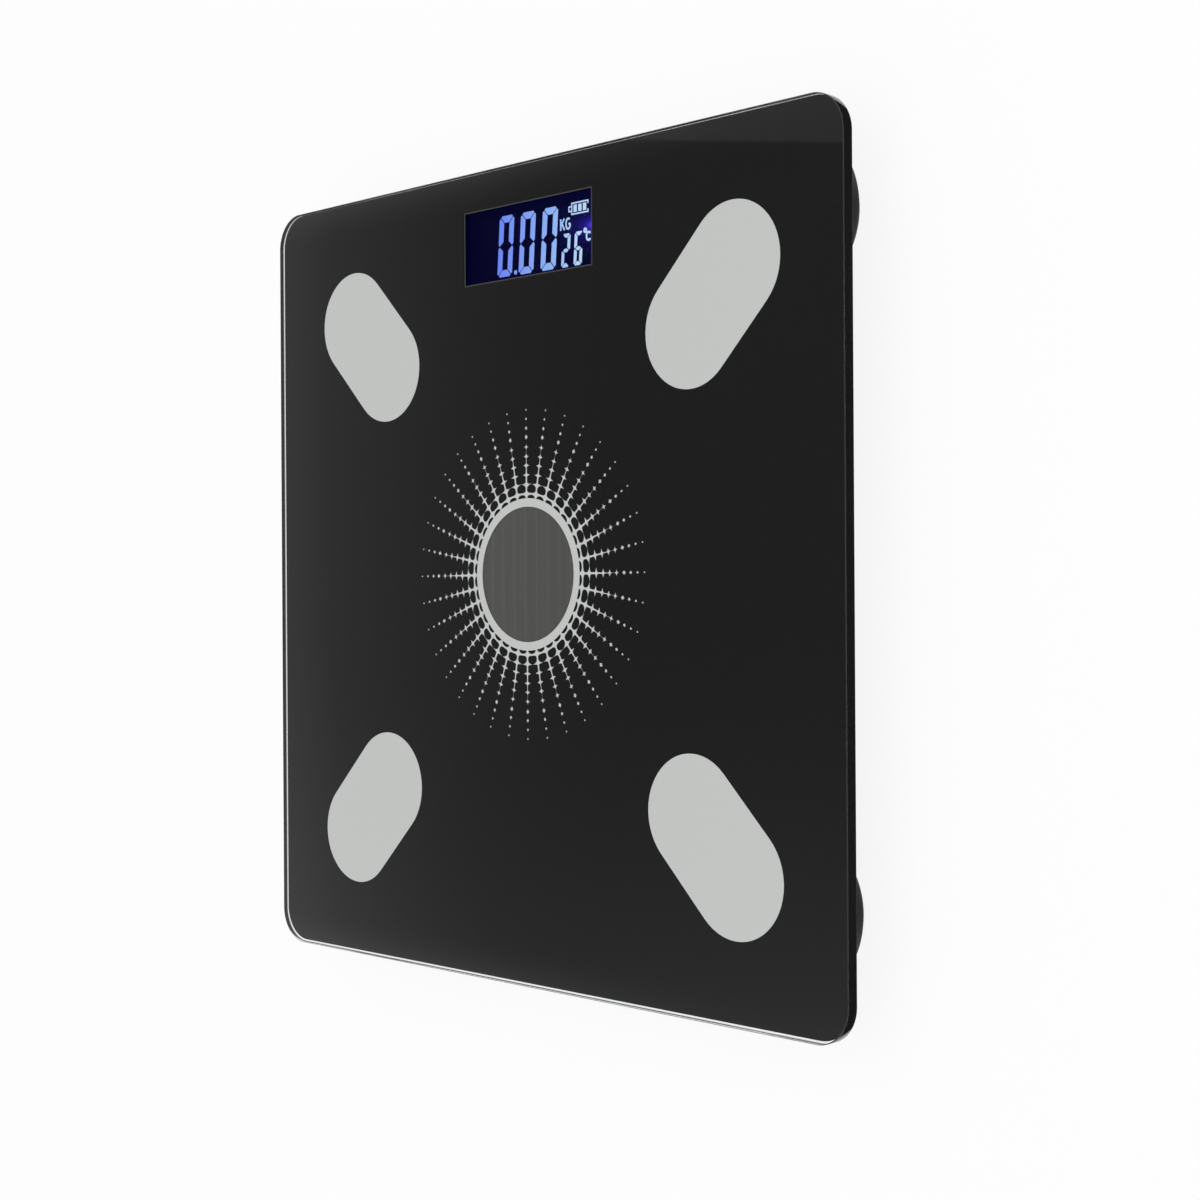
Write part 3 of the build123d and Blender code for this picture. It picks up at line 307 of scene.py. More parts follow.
# Painted light: along the front and the rear the print's colour is lightened for some millimetres, standing
# in for light that enters by the ground edge.
# It fades towards the right.
edge_reach = 16.0
edge_fall = 3.0
bright_end, dim_end = -19.5, 91.0
to_edge = add_node(tree, "Math", {0: axes.outputs["Y"]}, operation="ABSOLUTE")
painted_edge_light = add_node(
    tree,
    "MapRange",
    {"Value": to_edge.outputs[0], "From Min": (glass_half - edge_reach) * mm, "From Max": glass_half * mm},
)
painted_edge_light = add_node(tree, "Math", {0: painted_edge_light.outputs["Result"], 1: edge_fall}, operation="POWER")
from_left = add_node(
    tree,
    "MapRange",
    {
        "Value": axes.outputs["X"],
        "From Min": bright_end * mm,
        "From Max": dim_end * mm,
        "To Min": 1.0,
        "To Max": 0.2,
    },
)
painted_edge_light = add_node(
    tree, "Math", {0: painted_edge_light.outputs[0], 1: from_left.outputs["Result"]}, operation="MULTIPLY"
)
# Painted light: a lighter grey mixed into the ink's colour near the front and rear edges
ink = add_node(
    tree,
    "MixRGB",
    {"Fac": painted_edge_light.outputs[0], "Color1": ink.outputs["Color"], "Color2": linear("#333333")},
)
tree.links.new(ink.outputs["Color"], shader.inputs["Base Color"])
threads = add_node(tree, "TexVoronoi", {"Vector": place, "Scale": 1 / (mesh_pitch * mm), "Randomness": 0.15})
satin = add_node(tree, "MapRange", {"Value": threads.outputs["Distance"], "To Min": 0.34, "To Max": 0.46})
tree.links.new(satin.outputs["Result"], shader.inputs["Roughness"])
dress(black_ink, "black_print")

# Solar cell: a round plate of glass with a thin film of amorphous silicon, glued behind the ring, which keeps
# the batteries charged. The film is a dull grey brown, and laser cuts part it into fine upright stripes.
stripe_pitch = 5.2
first_cut = -0.93
cut_core, cut_edge = 0.3, 0.7
streak_width, streak_stretch = 2.6, 0.04
cloud_size = 30.0
solar_film, tree, shader, place = new_finish(
    "thin_film_silicon", {"Roughness": 0.32, "Specular IOR Level": 0.3}
)
axes = add_node(tree, "SeparateXYZ", {"Vector": place})
cut = add_node(tree, "Math", {0: axes.outputs["X"], 1: first_cut * mm}, operation="SUBTRACT")
cut = add_node(tree, "Math", {0: cut.outputs[0], 1: stripe_pitch / 2 * mm}, operation="PINGPONG")
cut = add_node(
    tree,
    "MapRange",
    {
        "Value": cut.outputs[0],
        "From Min": cut_core * mm,
        "From Max": cut_edge * mm,
        "To Min": 0.8,
        "To Max": 0.0,
    },
)
stretch = add_node(tree, "Mapping", {"Vector": place, "Scale": (1.0, streak_stretch, 1.0)}).outputs["Vector"]
streak = add_node(tree, "TexNoise", {"Vector": stretch, "Scale": 1 / (streak_width * mm), "Detail": 4.0})
streak_share = add_node(tree, "Math", {0: streak.outputs["Fac"], 1: cut.outputs["Result"]}, operation="ADD")
cloud = add_node(tree, "TexNoise", {"Vector": place, "Scale": 1 / (cloud_size * mm)})
cloud_tone = add_node(
    tree,
    "MixRGB",
    {"Fac": cloud.outputs["Fac"], "Color1": linear("#4c4d50"), "Color2": linear("#535150")},
)
film = add_node(
    tree,
    "MixRGB",
    {"Fac": streak_share.outputs[0], "Color1": cloud_tone.outputs["Color"], "Color2": linear("#5a5856")},
)
tree.links.new(film.outputs["Color"], shader.inputs["Base Color"])
dress(solar_film, "solar_cell")

# Black mouldings: the solar dish, the housing and its door here, and later the cups and caps of the feet.
# They are ABS, injection-moulded in a spark-eroded tool, which leaves a fine satin grain on every outer face.
grain_size = 0.55  # the real grain is about 0.2 mm, drawn coarser so that it shows
grain_depth = 0.05
flow_size = 35.0
black_abs, tree, shader, place = new_finish("moulded_black_abs", {"IOR": 1.54})
grain = add_node(tree, "TexNoise", {"Vector": place, "Scale": 1 / (grain_size * mm), "Detail": 2.0})
flow = add_node(tree, "TexNoise", {"Vector": place, "Scale": 1 / (flow_size * mm), "Detail": 3.0})
abs_tone = add_node(
    tree,
    "MixRGB",
    {"Fac": flow.outputs["Fac"], "Color1": linear("#1b1b1d"), "Color2": linear("#252527")},
)
tree.links.new(abs_tone.outputs["Color"], shader.inputs["Base Color"])
abs_gloss = add_node(tree, "MapRange", {"Value": grain.outputs["Fac"], "To Min": 0.42, "To Max": 0.6})
tree.links.new(abs_gloss.outputs["Result"], shader.inputs["Roughness"])
abs_grain = add_node(
    tree, "Bump", {"Height": grain.outputs["Fac"], "Strength": 0.35, "Distance": grain_depth * mm}
)
tree.links.new(abs_grain.outputs["Normal"], shader.inputs["Normal"])
dress(black_abs, "solar_holder", "electronics_housing", "battery_door")

# Display gasket: a frame of black foam, die-cut and stuck between print and display against dust. Open-cell
# foam is dull.
# The foam and the display's frame are coloured deep blue, which is painted light: the display's blue glow
# falling on them. Darker cell centres are painted shade in the mouths of the cells.
cell_size = 0.7
foam, tree, shader, place = new_finish("black_foam_painted_blue_glow", {"Roughness": 0.95, "Specular IOR Level": 0.02})
cells = add_node(tree, "TexVoronoi", {"Vector": place, "Scale": 1 / (cell_size * mm)})
# Painted light and shade: two deep blues for the display's glow, the darker one at the cell centres for shade
# in the cell mouths
foam_glow_tone = add_node(
    tree,
    "MixRGB",
    {"Fac": cells.outputs["Distance"], "Color1": linear("#010128"), "Color2": linear("#050544")},
)
tree.links.new(foam_glow_tone.outputs["Color"], shader.inputs["Base Color"])
dress(foam, "lcd_gasket", "lcd_frame")

# Display panel: two sheets of glass with liquid crystal between them and a blue-black polariser on top.
# It is a negative display: the field is dark, and a violet glow leaks in from the lamp at its right-hand end.
lamp_x, lamp_y, lamp_level = 27.9, 107.0, 16.2
glow_length, glow_squeeze = 60.0, 2.0
haze_size = 0.4
glow_stops = [
    (0.0, "#5a90f0"),
    (0.014, "#4c50e6"),
    (0.032, "#4028bc"),
    (0.06, "#261b90"),
    (0.1, "#181362"),
    (0.2, "#09093e"),
    (0.34, "#04052e"),
    (1.0, "#050426"),
]
display_glass, tree, shader, place = new_finish(
    "negative_display",
    {"Base Color": linear("#010104"), "Specular IOR Level": 0.02, "Emission Strength": 1.0},
)
lamp_spot = (lamp_x * mm, lamp_y * mm, lamp_level * mm)
from_lamp = add_node(tree, "VectorMath", {0: place, 1: lamp_spot}, operation="SUBTRACT")
from_lamp = add_node(
    tree, "VectorMath", {0: from_lamp.outputs[0], 1: (1.0, glow_squeeze, 0.0)}, operation="MULTIPLY"
)
distance = add_node(tree, "VectorMath", {0: from_lamp.outputs[0]}, operation="LENGTH")
glow_reach = add_node(
    tree, "MapRange", {"Value": distance.outputs["Value"], "From Min": 0.0, "From Max": glow_length * mm}
)
glow = add_node(tree, "ValToRGB", {"Fac": glow_reach.outputs["Result"]}, glow_stops)
tree.links.new(glow.outputs["Color"], shader.inputs["Emission Color"])
haze = add_node(tree, "TexNoise", {"Vector": place, "Scale": 1 / (haze_size * mm)})
haze_gloss = add_node(tree, "MapRange", {"Value": haze.outputs["Fac"], "To Min": 0.25, "To Max": 0.4})
tree.links.new(haze_gloss.outputs["Result"], shader.inputs["Roughness"])
dress(display_glass, "lcd_panel")

# Lit segments: the clear parts of the display, where the blue-white backlight shows: three large digits
# with a point, the unit, a battery mark and a two-digit temperature.
# They pale from periwinkle to white towards the lamp.
light_start, light_end = -18.0, 28.0
light_stops = [(0.0, "#6a82f6"), (0.35, "#86a2f8"), (0.62, "#92b7fa"), (0.8, "#b6d2fb"), (1.0, "#c6dcfc")]
lit_segment, tree, shader, place = new_finish(
    "lit_segment",
    {
        "Base Color": linear("#0a0a10"),
        "Roughness": 0.4,
        "Specular IOR Level": 0.02,
        "Emission Strength": 1.12,
    },
)
axes = add_node(tree, "SeparateXYZ", {"Vector": place})
to_lamp = add_node(
    tree, "MapRange", {"Value": axes.outputs["X"], "From Min": light_start * mm, "From Max": light_end * mm}
)
light = add_node(tree, "ValToRGB", {"Fac": to_lamp.outputs["Result"]}, light_stops)
tree.links.new(light.outputs["Color"], shader.inputs["Emission Color"])
segment_bottom, segment_top = 16.19, 16.23


def seven_bars(width, height, stroke, gap, lit):
    """Outlines of the lit ones of seven bars, from the top one clockwise round to the middle one: hexagons
    whose mitred ends leave a gap. The top and upper right bars are written down, and mirrored about both
    middles for the rest."""
    half, cut, nib = height / 2, stroke / 2, stroke / 4
    inner, outer = half - stroke, half - nib
    waist, waist_tip = 0.45 * stroke, 0.4 * stroke + gap
    low, low_inner = 0.7 * gap, gap + 0.6 * stroke
    top = [(stroke + gap, inner), (width - stroke - gap, inner), (width - nib - gap, outer)]
    top += [(width - cut - gap / 2, half), (cut + gap / 2, half), (nib + gap, outer)]
    right = [(width - stroke, inner - gap), (width - stroke, low_inner), (width - nib, low)]
    right += [(width, low + nib), (width, half - cut), (width - nib, outer - gap)]
    middle = [(waist_tip, 0), (stroke, -waist), (width - stroke, -waist)]
    middle += [(width - waist_tip, 0), (width - stroke, waist), (stroke, waist)]
    top, right = np.array(top), np.array(right)
    flip = np.array([1.0, -1.0])
    left = np.array([width, 0.0]) + right[::-1] * -flip
    bars = [top, right, right[::-1] * flip, top[::-1] * flip, left[::-1] * flip, left, np.array(middle)]
    return np.stack(bars)[lit]


zero, two, six = [0, 1, 2, 3, 4, 5], [0, 1, 3, 4, 6], [0, 2, 3, 4, 5, 6]
large_size, small_size = (7.0, 19.5, 2.2, 0.2), (3.7, 10.4, 1.25, 0.16)
large_spots = ((-15.7, 105.55), (-5.5, 105.35), (4.8, 105.25))
two_spot, six_spot = (14.0, 100.6), (19.6, 100.6)
large_middle, small_middle = 105.4, 100.6
slant = 0.075
number = np.concatenate([seven_bars(*large_size, zero) + spot for spot in large_spots])
small_two = seven_bars(*small_size, two) + two_spot
small_six = seven_bars(*small_size, six) + six_spot
bars = np.concatenate([number, small_two, small_six])
lean_from = np.repeat([large_middle, small_middle], [len(number), len(small_two) + len(small_six)])
bars[..., 0] += slant * (bars[..., 1] - lean_from[:, None])
digits = skin("display_digits", prism(bars[:, None], segment_bottom, segment_top), lit_segment)


def box_outline(low_x, low_y, high_x, high_y):
    """Outline of an upright rectangle, anticlockwise, as one plate."""
    return np.array([[[(low_x, low_y), (high_x, low_y), (high_x, high_y), (low_x, high_y)]]])


arc_steps = 25


def arc(centre_x, centre_y, reach_x, reach_y, start, end):
    """Points of an elliptical arc from one angle to another, in degrees."""
    angle = np.radians(np.linspace(start, end, arc_steps))
    return np.stack([centre_x + reach_x * np.cos(angle), centre_y + reach_y * np.sin(angle)], -1)


# Battery mark: an outline with a terminal at its left and an open right-hand end, and three full bars in it
mark_low, mark_high, mark_line = 111.2, 115.05, 0.45
mark_left, mark_right, mark_lip = 18.4, 26.1, 1.1
terminal, terminal_inset = 17.1, 1.0
full_width, full_inset, full_starts = 1.5, 0.8, (19.4, 21.5, 23.6)
line_low, line_high = mark_low + mark_line, mark_high - mark_line
neck_low, neck_high = mark_low + terminal_inset, mark_high - terminal_inset
mark = [
    box_outline(mark_left, mark_low, mark_right, line_low),
    box_outline(mark_left, line_high, mark_right, mark_high),
    box_outline(mark_left, line_low, mark_left + mark_line, line_high),
    box_outline(mark_right - mark_line, line_low, mark_right, mark_low + mark_lip),
    box_outline(mark_right - mark_line, mark_high - mark_lip, mark_right, line_high),
    box_outline(terminal, neck_low, mark_left, neck_low + mark_line),
    box_outline(terminal, neck_high - mark_line, mark_left, neck_high),
    box_outline(terminal, neck_low + mark_line, terminal + mark_line, neck_high - mark_line),
]
mark += [box_outline(x, mark_low + full_inset, x + full_width, mark_high - full_inset) for x in full_starts]
battery_mark = skin(
    "display_battery_mark", prism(np.concatenate(mark), segment_bottom, segment_top), lit_segment
)

# Point, unit and degree sign: a round dot, and strokes of one width along straight runs and elliptical arcs
point_x, point_y, point_radius = -7.6, 96.6, 0.75
stroke_half = 0.33
point = arc(point_x, point_y, point_radius, point_radius, 0, 360)[None, None, :-1]
decimal_point = skin("display_point", prism(point, segment_bottom, segment_top), lit_segment)
strokes = {
    "unit_k_stem": np.array([(13.6, 107.0), (13.6, 110.6)]),
    "unit_k_arm": np.array([(13.7, 108.5), (15.2, 110.6)]),
    "unit_k_leg": np.array([(14.2, 109.0), (15.3, 107.0)]),
    "unit_g": np.concatenate([arc(16.95, 108.8, 0.95, 1.6, 50, 345), [(17.85, 108.7), (17.1, 108.7)]]),
    "degree_ring": arc(24.6, 105.7, 0.5, 0.55, 0, 360),
    "degree_c": arc(26.1, 103.8, 0.95, 1.25, 40, 320),
}
for name, path in strokes.items():
    loops = ribbon(path, np.full(len(path), stroke_half), segment_bottom, segment_top)[None]
    stroke_piece = skin("display_" + name, loops, lit_segment)
    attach(stroke_piece, "platform")
for piece in (digits, battery_mark, decimal_point):
    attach(piece, "platform")

# Backlight: a sheet of clear acrylic over white film that spreads the light of a moulded lamp at its right.
# The acrylic has a milky, dotted back, and the lamp a yellow phosphor.
dot_pitch = 1.2
grit_size = 0.3
light_guide, tree, shader, place = new_finish("dotted_acrylic", {"Roughness": 0.25, "IOR": 1.49})
dots = add_node(tree, "TexVoronoi", {"Vector": place, "Scale": 1 / (dot_pitch * mm), "Randomness": 0.0})
guide_tone = add_node(
    tree,
    "MixRGB",
    {"Fac": dots.outputs["Distance"], "Color1": linear("#f4f7fb"), "Color2": linear("#c9d6ea")},
)
tree.links.new(guide_tone.outputs["Color"], shader.inputs["Base Color"])
dress(light_guide, "lcd_backlight")
phosphor, tree, shader, place = new_finish("lamp_phosphor", {"Roughness": 0.35})
grit = add_node(tree, "TexNoise", {"Vector": place, "Scale": 1 / (grit_size * mm)})
phosphor_tone = add_node(
    tree,
    "MixRGB",
    {"Fac": grit.outputs["Fac"], "Color1": linear("#e6cf6a"), "Color2": linear("#f3ecc4")},
)
tree.links.new(phosphor_tone.outputs["Color"], shader.inputs["Base Color"])
dress(phosphor, "backlight_led")

# Zebra strip: silicone rubber in which thin carbon layers alternate with pink insulating ones.
# It is squeezed between the board and the display's contact edge, and is dull, with fine dark stripes.
layer_pitch = 0.6  # the real layers are 0.1 mm thick, too fine to show
wave_share = 3.2  # about this many of Blender's waves go into one unit at a scale of 1
zebra, tree, shader, place = new_finish("zebra_rubber", {"Roughness": 0.75})
layers = add_node(tree, "TexWave", {"Vector": place, "Scale": 1 / (layer_pitch * mm) / wave_share})
zebra_tone = add_node(
    tree,
    "MixRGB",
    {"Fac": layers.outputs["Fac"], "Color1": linear("#1c1a1b"), "Color2": linear("#d79a98")},
)
tree.links.new(zebra_tone.outputs["Color"], shader.inputs["Base Color"])
dress(zebra, "zebra_strip")

# Circuit board: glass-fibre laminate under green solder mask, with copper tracks that show as paler lines.
# It carries the display on its top, and the controller, the small chips and the switch on its underside.
track_pitch = 2.4
brick_rows = 4  # Blender's bricks are a quarter of a unit high at a scale of 1
laminate, tree, shader, place = new_finish("solder_mask", {"Roughness": 0.3, "IOR": 1.5})
tracks = add_node(
    tree,
    "TexBrick",
    {
        "Vector": place,
        "Scale": 1 / (track_pitch * mm) / brick_rows,
        "Mortar Size": 0.06,
        "Mortar Smooth": 0.2,
    },
)
mask_tone = add_node(
    tree,
    "MixRGB",
    {"Fac": tracks.outputs["Fac"], "Color1": linear("#1d5c34"), "Color2": linear("#3a8a55")},
)
tree.links.new(mask_tone.outputs["Color"], shader.inputs["Base Color"])
dress(laminate, "main_board")

# Potting: black epoxy dropped over the bare controller chip and round the thermistor's bead.
# It cures to a lumpy gloss.
lump_size, lump_depth = 2.5, 0.1
potting, tree, shader, place = new_finish("epoxy_drop", {"Base Color": linear("#101011"), "IOR": 1.55})
lumps = add_node(tree, "TexNoise", {"Vector": place, "Scale": 1 / (lump_size * mm)})
lump_gloss = add_node(tree, "MapRange", {"Value": lumps.outputs["Fac"], "To Min": 0.12, "To Max": 0.28})
tree.links.new(lump_gloss.outputs["Result"], shader.inputs["Roughness"])
lump_relief = add_node(
    tree, "Bump", {"Height": lumps.outputs["Fac"], "Strength": 0.2, "Distance": lump_depth * mm}
)
tree.links.new(lump_relief.outputs["Normal"], shader.inputs["Normal"])
dress(potting, "controller_chip", "thermistor")

# Chip resistors and capacitors: small bricks of fired ceramic, soldered in two rows on the board.
# The ceramic is tan, dull and slightly mottled.
mottle_size = 0.8
chip_ceramic, tree, shader, place = new_finish("fired_ceramic", {"Roughness": 0.5})
mottle = add_node(tree, "TexNoise", {"Vector": place, "Scale": 1 / (mottle_size * mm)})
ceramic_tone = add_node(
    tree,
    "MixRGB",
    {"Fac": mottle.outputs["Fac"], "Color1": linear("#8a6f52"), "Color2": linear("#a98f70")},
)
tree.links.new(ceramic_tone.outputs["Color"], shader.inputs["Base Color"])
dress(chip_ceramic, "chip_parts")

# Sheet and turned metal inside: the tinned switch cover, zinc-plated screws, and nickel-plated contacts and
# load cells. Each is steel with a thin plating, and fine scratches from stamping or rolling in one direction.
contacts = ["battery_contact_link", "battery_contact_positive", "battery_contact_negative"]
load_cells = [name for name in nodes if name.startswith("load_cell_")]
metals = {
    "tinned_steel": ("#c9c9c6", 0.3, ["tact_switch"]),
    "zinc_plate": ("#c3c4c6", 0.36, ["board_screws"]),
    "nickel_spring_strip": ("#cfc8b9", 0.26, contacts),
    "nickel_load_cell": ("#bdb9b0", 0.33, load_cells),
}
scratch_width, scratch_stretch = 0.3, 0.08
gloss_spread = 0.1
for name, (code, gloss, names) in metals.items():
    metal, tree, shader, place = new_finish(name, {"Base Color": linear(code), "Metallic": 1.0})
    rolled = add_node(tree, "Mapping", {"Vector": place, "Scale": (scratch_stretch, 1.0, 1.0)})
    scratch = add_node(
        tree, "TexNoise", {"Vector": rolled.outputs["Vector"], "Scale": 1 / (scratch_width * mm)}
    )
    metal_gloss = add_node(
        tree,
        "MapRange",
        {"Value": scratch.outputs["Fac"], "To Min": gloss - gloss_spread, "To Max": gloss + gloss_spread},
    )
    tree.links.new(metal_gloss.outputs["Result"], shader.inputs["Roughness"])
    dress(metal, *names)

# Battery cells: two AAA cells in plain shrink jackets, dark with a pale band at the positive end and bare
# steel ends. They lie head to tail in the bay: the band is at the right on the front one, at the left on the
# rear one.
cell_half, band_start = 21.0, 13.0
wrinkle_size = 6.0
for row, end in (("front", 1.0), ("rear", -1.0)):
    jacket, tree, shader, place = new_finish("shrink_jacket_" + row, {"IOR": 1.5})
    axes = add_node(tree, "SeparateXYZ", {"Vector": place})
    toward = add_node(tree, "Math", {0: axes.outputs["X"], 1: end}, operation="MULTIPLY")
    band = add_node(tree, "Math", {0: toward.outputs[0], 1: band_start * mm}, operation="GREATER_THAN")
    away = add_node(tree, "Math", {0: axes.outputs["X"]}, operation="ABSOLUTE")
    bare = add_node(tree, "Math", {0: away.outputs[0], 1: cell_half * mm}, operation="GREATER_THAN")
    wrinkle = add_node(tree, "TexNoise", {"Vector": place, "Scale": 1 / (wrinkle_size * mm), "Detail": 3.0})
    jacket_gloss = add_node(
        tree, "MapRange", {"Value": wrinkle.outputs["Fac"], "To Min": 0.22, "To Max": 0.36}
    )
    wrapped = add_node(
        tree,
        "MixRGB",
        {"Fac": band.outputs[0], "Color1": linear("#27424e"), "Color2": linear("#c8cccb")},
    )
    cell_tone = add_node(
        tree,
        "MixRGB",
        {"Fac": bare.outputs[0], "Color1": wrapped.outputs["Color"], "Color2": linear("#bcbdbb")},
    )
    tree.links.new(cell_tone.outputs["Color"], shader.inputs["Base Color"])
    tree.links.new(bare.outputs[0], shader.inputs["Metallic"])
    tree.links.new(jacket_gloss.outputs["Result"], shader.inputs["Roughness"])
    dress(jacket, "battery_cell_" + row)

# Unit button: a small grey cap in the housing's floor that changes the unit, under its switch's plunger.
# It is ABS moulded in a polished tool, so it is smoother than the housing.
swirl_size = 3.0
button_abs, tree, shader, place = new_finish("satin_grey_abs", {"IOR": 1.54})
swirl = add_node(tree, "TexNoise", {"Vector": place, "Scale": 1 / (swirl_size * mm), "Detail": 3.0})
button_tone = add_node(
    tree,
    "MixRGB",
    {"Fac": swirl.outputs["Fac"], "Color1": linear("#7b7c7f"), "Color2": linear("#86878a")},
)
tree.links.new(button_tone.outputs["Color"], shader.inputs["Base Color"])
button_gloss = add_node(tree, "MapRange", {"Value": swirl.outputs["Fac"], "To Min": 0.26, "To Max": 0.38})
tree.links.new(button_gloss.outputs["Result"], shader.inputs["Roughness"])
dress(button_abs, "unit_button", "switch_plunger")

# Feet: a moulded cup glued under each corner holds a stamped load cell, and a captive cap presses it.
# The gauge on each cell is sealed in white silicone, and each cap stands on a dull charcoal rubber pad.
dress(black_abs, *[name for name in nodes if name.startswith(("foot_holder_", "foot_cap_"))])
drop_size = 2.0
sealant, tree, shader, place = new_finish("white_silicone", {"Roughness": 0.45, "Subsurface Weight": 0.1})
drops = add_node(tree, "TexNoise", {"Vector": place, "Scale": 1 / (drop_size * mm)})
sealant_tone = add_node(
    tree,
    "MixRGB",
    {"Fac": drops.outputs["Fac"], "Color1": linear("#dedcd3"), "Color2": linear("#efeee8")},
)
tree.links.new(sealant_tone.outputs["Color"], shader.inputs["Base Color"])
dress(sealant, *[name for name in nodes if name.startswith("strain_gauge_")])
bloom_size = 9.0
pore_size, pore_depth = 0.7, 0.06
rubber, tree, shader, place = new_finish("charcoal_rubber", {"Specular IOR Level": 0.3})
bloom = add_node(tree, "TexNoise", {"Vector": place, "Scale": 1 / (bloom_size * mm), "Detail": 6.0})
rubber_tone = add_node(
    tree,
    "MixRGB",
    {"Fac": bloom.outputs["Fac"], "Color1": linear("#38383a"), "Color2": linear("#4a4a4b")},
)
tree.links.new(rubber_tone.outputs["Color"], shader.inputs["Base Color"])
pores = add_node(tree, "TexNoise", {"Vector": place, "Scale": 1 / (pore_size * mm), "Detail": 2.0})
rubber_gloss = add_node(tree, "MapRange", {"Value": pores.outputs["Fac"], "To Min": 0.72, "To Max": 0.92})
tree.links.new(rubber_gloss.outputs["Result"], shader.inputs["Roughness"])
rubber_relief = add_node(
    tree, "Bump", {"Height": pores.outputs["Fac"], "Strength": 0.4, "Distance": pore_depth * mm}
)
tree.links.new(rubber_relief.outputs["Normal"], shader.inputs["Normal"])
dress(rubber, *[name for name in nodes if name.startswith("foot_pad_")])

# Wires: stranded copper in red, black and white PVC, three from each foot, two from the cell and two from the
# battery. PVC is slightly glossy, and its colour varies a little along the wire.
insulation = {
    "red": ("#a81d1b", "#c02a26", ["sense_wires_red", "solar_lead_red", "battery_lead_red"]),
    "black": ("#161617", "#202021", ["sense_wires_black", "solar_lead_black", "battery_lead_black"]),
    "white": ("#d9d7cf", "#ebe9e2", ["sense_wires_white"]),
}
draw_length = 7.0
for colour, (shade, tint, names) in insulation.items():
    pvc, tree, shader, place = new_finish("pvc_insulation_" + colour, {"IOR": 1.53})
    drawn = add_node(tree, "TexNoise", {"Vector": place, "Scale": 1 / (draw_length * mm), "Detail": 3.0})
    pvc_tone = add_node(
        tree, "MixRGB", {"Fac": drawn.outputs["Fac"], "Color1": linear(shade), "Color2": linear(tint)}
    )
    tree.links.new(pvc_tone.outputs["Color"], shader.inputs["Base Color"])
    pvc_gloss = add_node(tree, "MapRange", {"Value": drawn.outputs["Fac"], "To Min": 0.3, "To Max": 0.44})
    tree.links.new(pvc_gloss.outputs["Result"], shader.inputs["Roughness"])
    dress(pvc, *names)

# Wire clips: small saddles of moulded natural nylon, glued under the glass over the wires.
# Nylon is milky, with a soft waxy gloss.
milk_size = 4.0
nylon, tree, shader, place = new_finish("natural_nylon", {"IOR": 1.53, "Subsurface Weight": 0.15})
milk = add_node(tree, "TexNoise", {"Vector": place, "Scale": 1 / (milk_size * mm), "Detail": 3.0})
nylon_tone = add_node(
    tree,
    "MixRGB",
    {"Fac": milk.outputs["Fac"], "Color1": linear("#cfccc0"), "Color2": linear("#e2e0d6")},
)
tree.links.new(nylon_tone.outputs["Color"], shader.inputs["Base Color"])
nylon_gloss = add_node(tree, "MapRange", {"Value": milk.outputs["Fac"], "To Min": 0.36, "To Max": 0.5})
tree.links.new(nylon_gloss.outputs["Result"], shader.inputs["Roughness"])
dress(nylon, "wire_clips")

# Studio floor: a large sheet of white paper on the ground. The eye and reflections see it as white with a
# soft shadow, and it lets the light and the view from underneath through, to show the underside.
floor_half = 3.0
shadow_share = 0.12
fibre_size = 8.0


def stage_sheet(name, low, high, level, material):
    """A flat rectangle that is not part of the object: it faces up at a level, from its low corner to its
    high corner, in metres."""
    mesh = bpy.data.meshes.new(name)
    corners = [low, (high[0], low[1]), high, (low[0], high[1])]
    mesh.from_pydata([(*corner, level) for corner in corners], [], [(0, 1, 2, 3)])
    mesh.materials.append(material)
    sheet = bpy.data.objects.new(name, mesh)
    bpy.context.scene.collection.objects.link(sheet)
    return sheet


paper = bpy.data.materials.new("white_paper")
paper.use_nodes = True
tree = paper.node_tree
tree.nodes.clear()
ray = add_node(tree, "LightPath").outputs
seen = add_node(tree, "Math", {0: ray["Is Camera Ray"], 1: ray["Is Glossy Ray"]}, operation="MAXIMUM")
seen = add_node(tree, "Math", {0: seen.outputs[0], 1: ray["Is Transmission Ray"]}, operation="MAXIMUM")
white_share = add_node(tree, "Math", {0: seen.outputs[0], 1: 1 - shadow_share}, operation="MULTIPLY")
place = add_node(tree, "TexCoord").outputs["Object"]
fibre = add_node(tree, "TexNoise", {"Vector": place, "Scale": 1 / (fibre_size * mm)})
sheet_tone = add_node(
    tree,
    "MixRGB",
    {"Fac": fibre.outputs["Fac"], "Color1": linear("#f1f1f0"), "Color2": linear("#f4f4f3")},
)
shaded = add_node(tree, "BsdfDiffuse", {"Color": sheet_tone.outputs["Color"]})
white = add_node(tree, "Emission", {"Strength": 1.0})
seen_sheet = add_node(
    tree, "MixShader", {0: white_share.outputs[0], 1: shaded.outputs[0], 2: white.outputs[0]}
)
below = add_node(tree, "NewGeometry").outputs["Backfacing"]
through = add_node(tree, "Math", {0: below, 1: ray["Is Shadow Ray"]}, operation="MAXIMUM")
clear = add_node(tree, "BsdfTransparent")
floor_surface = add_node(
    tree, "MixShader", {0: through.outputs[0], 1: seen_sheet.outputs[0], 2: clear.outputs[0]}
)
add_node(tree, "OutputMaterial", {"Surface": floor_surface.outputs[0]})
stage_sheet("paper_floor", (-floor_half, -floor_half), (floor_half, floor_half), 0.0, paper)

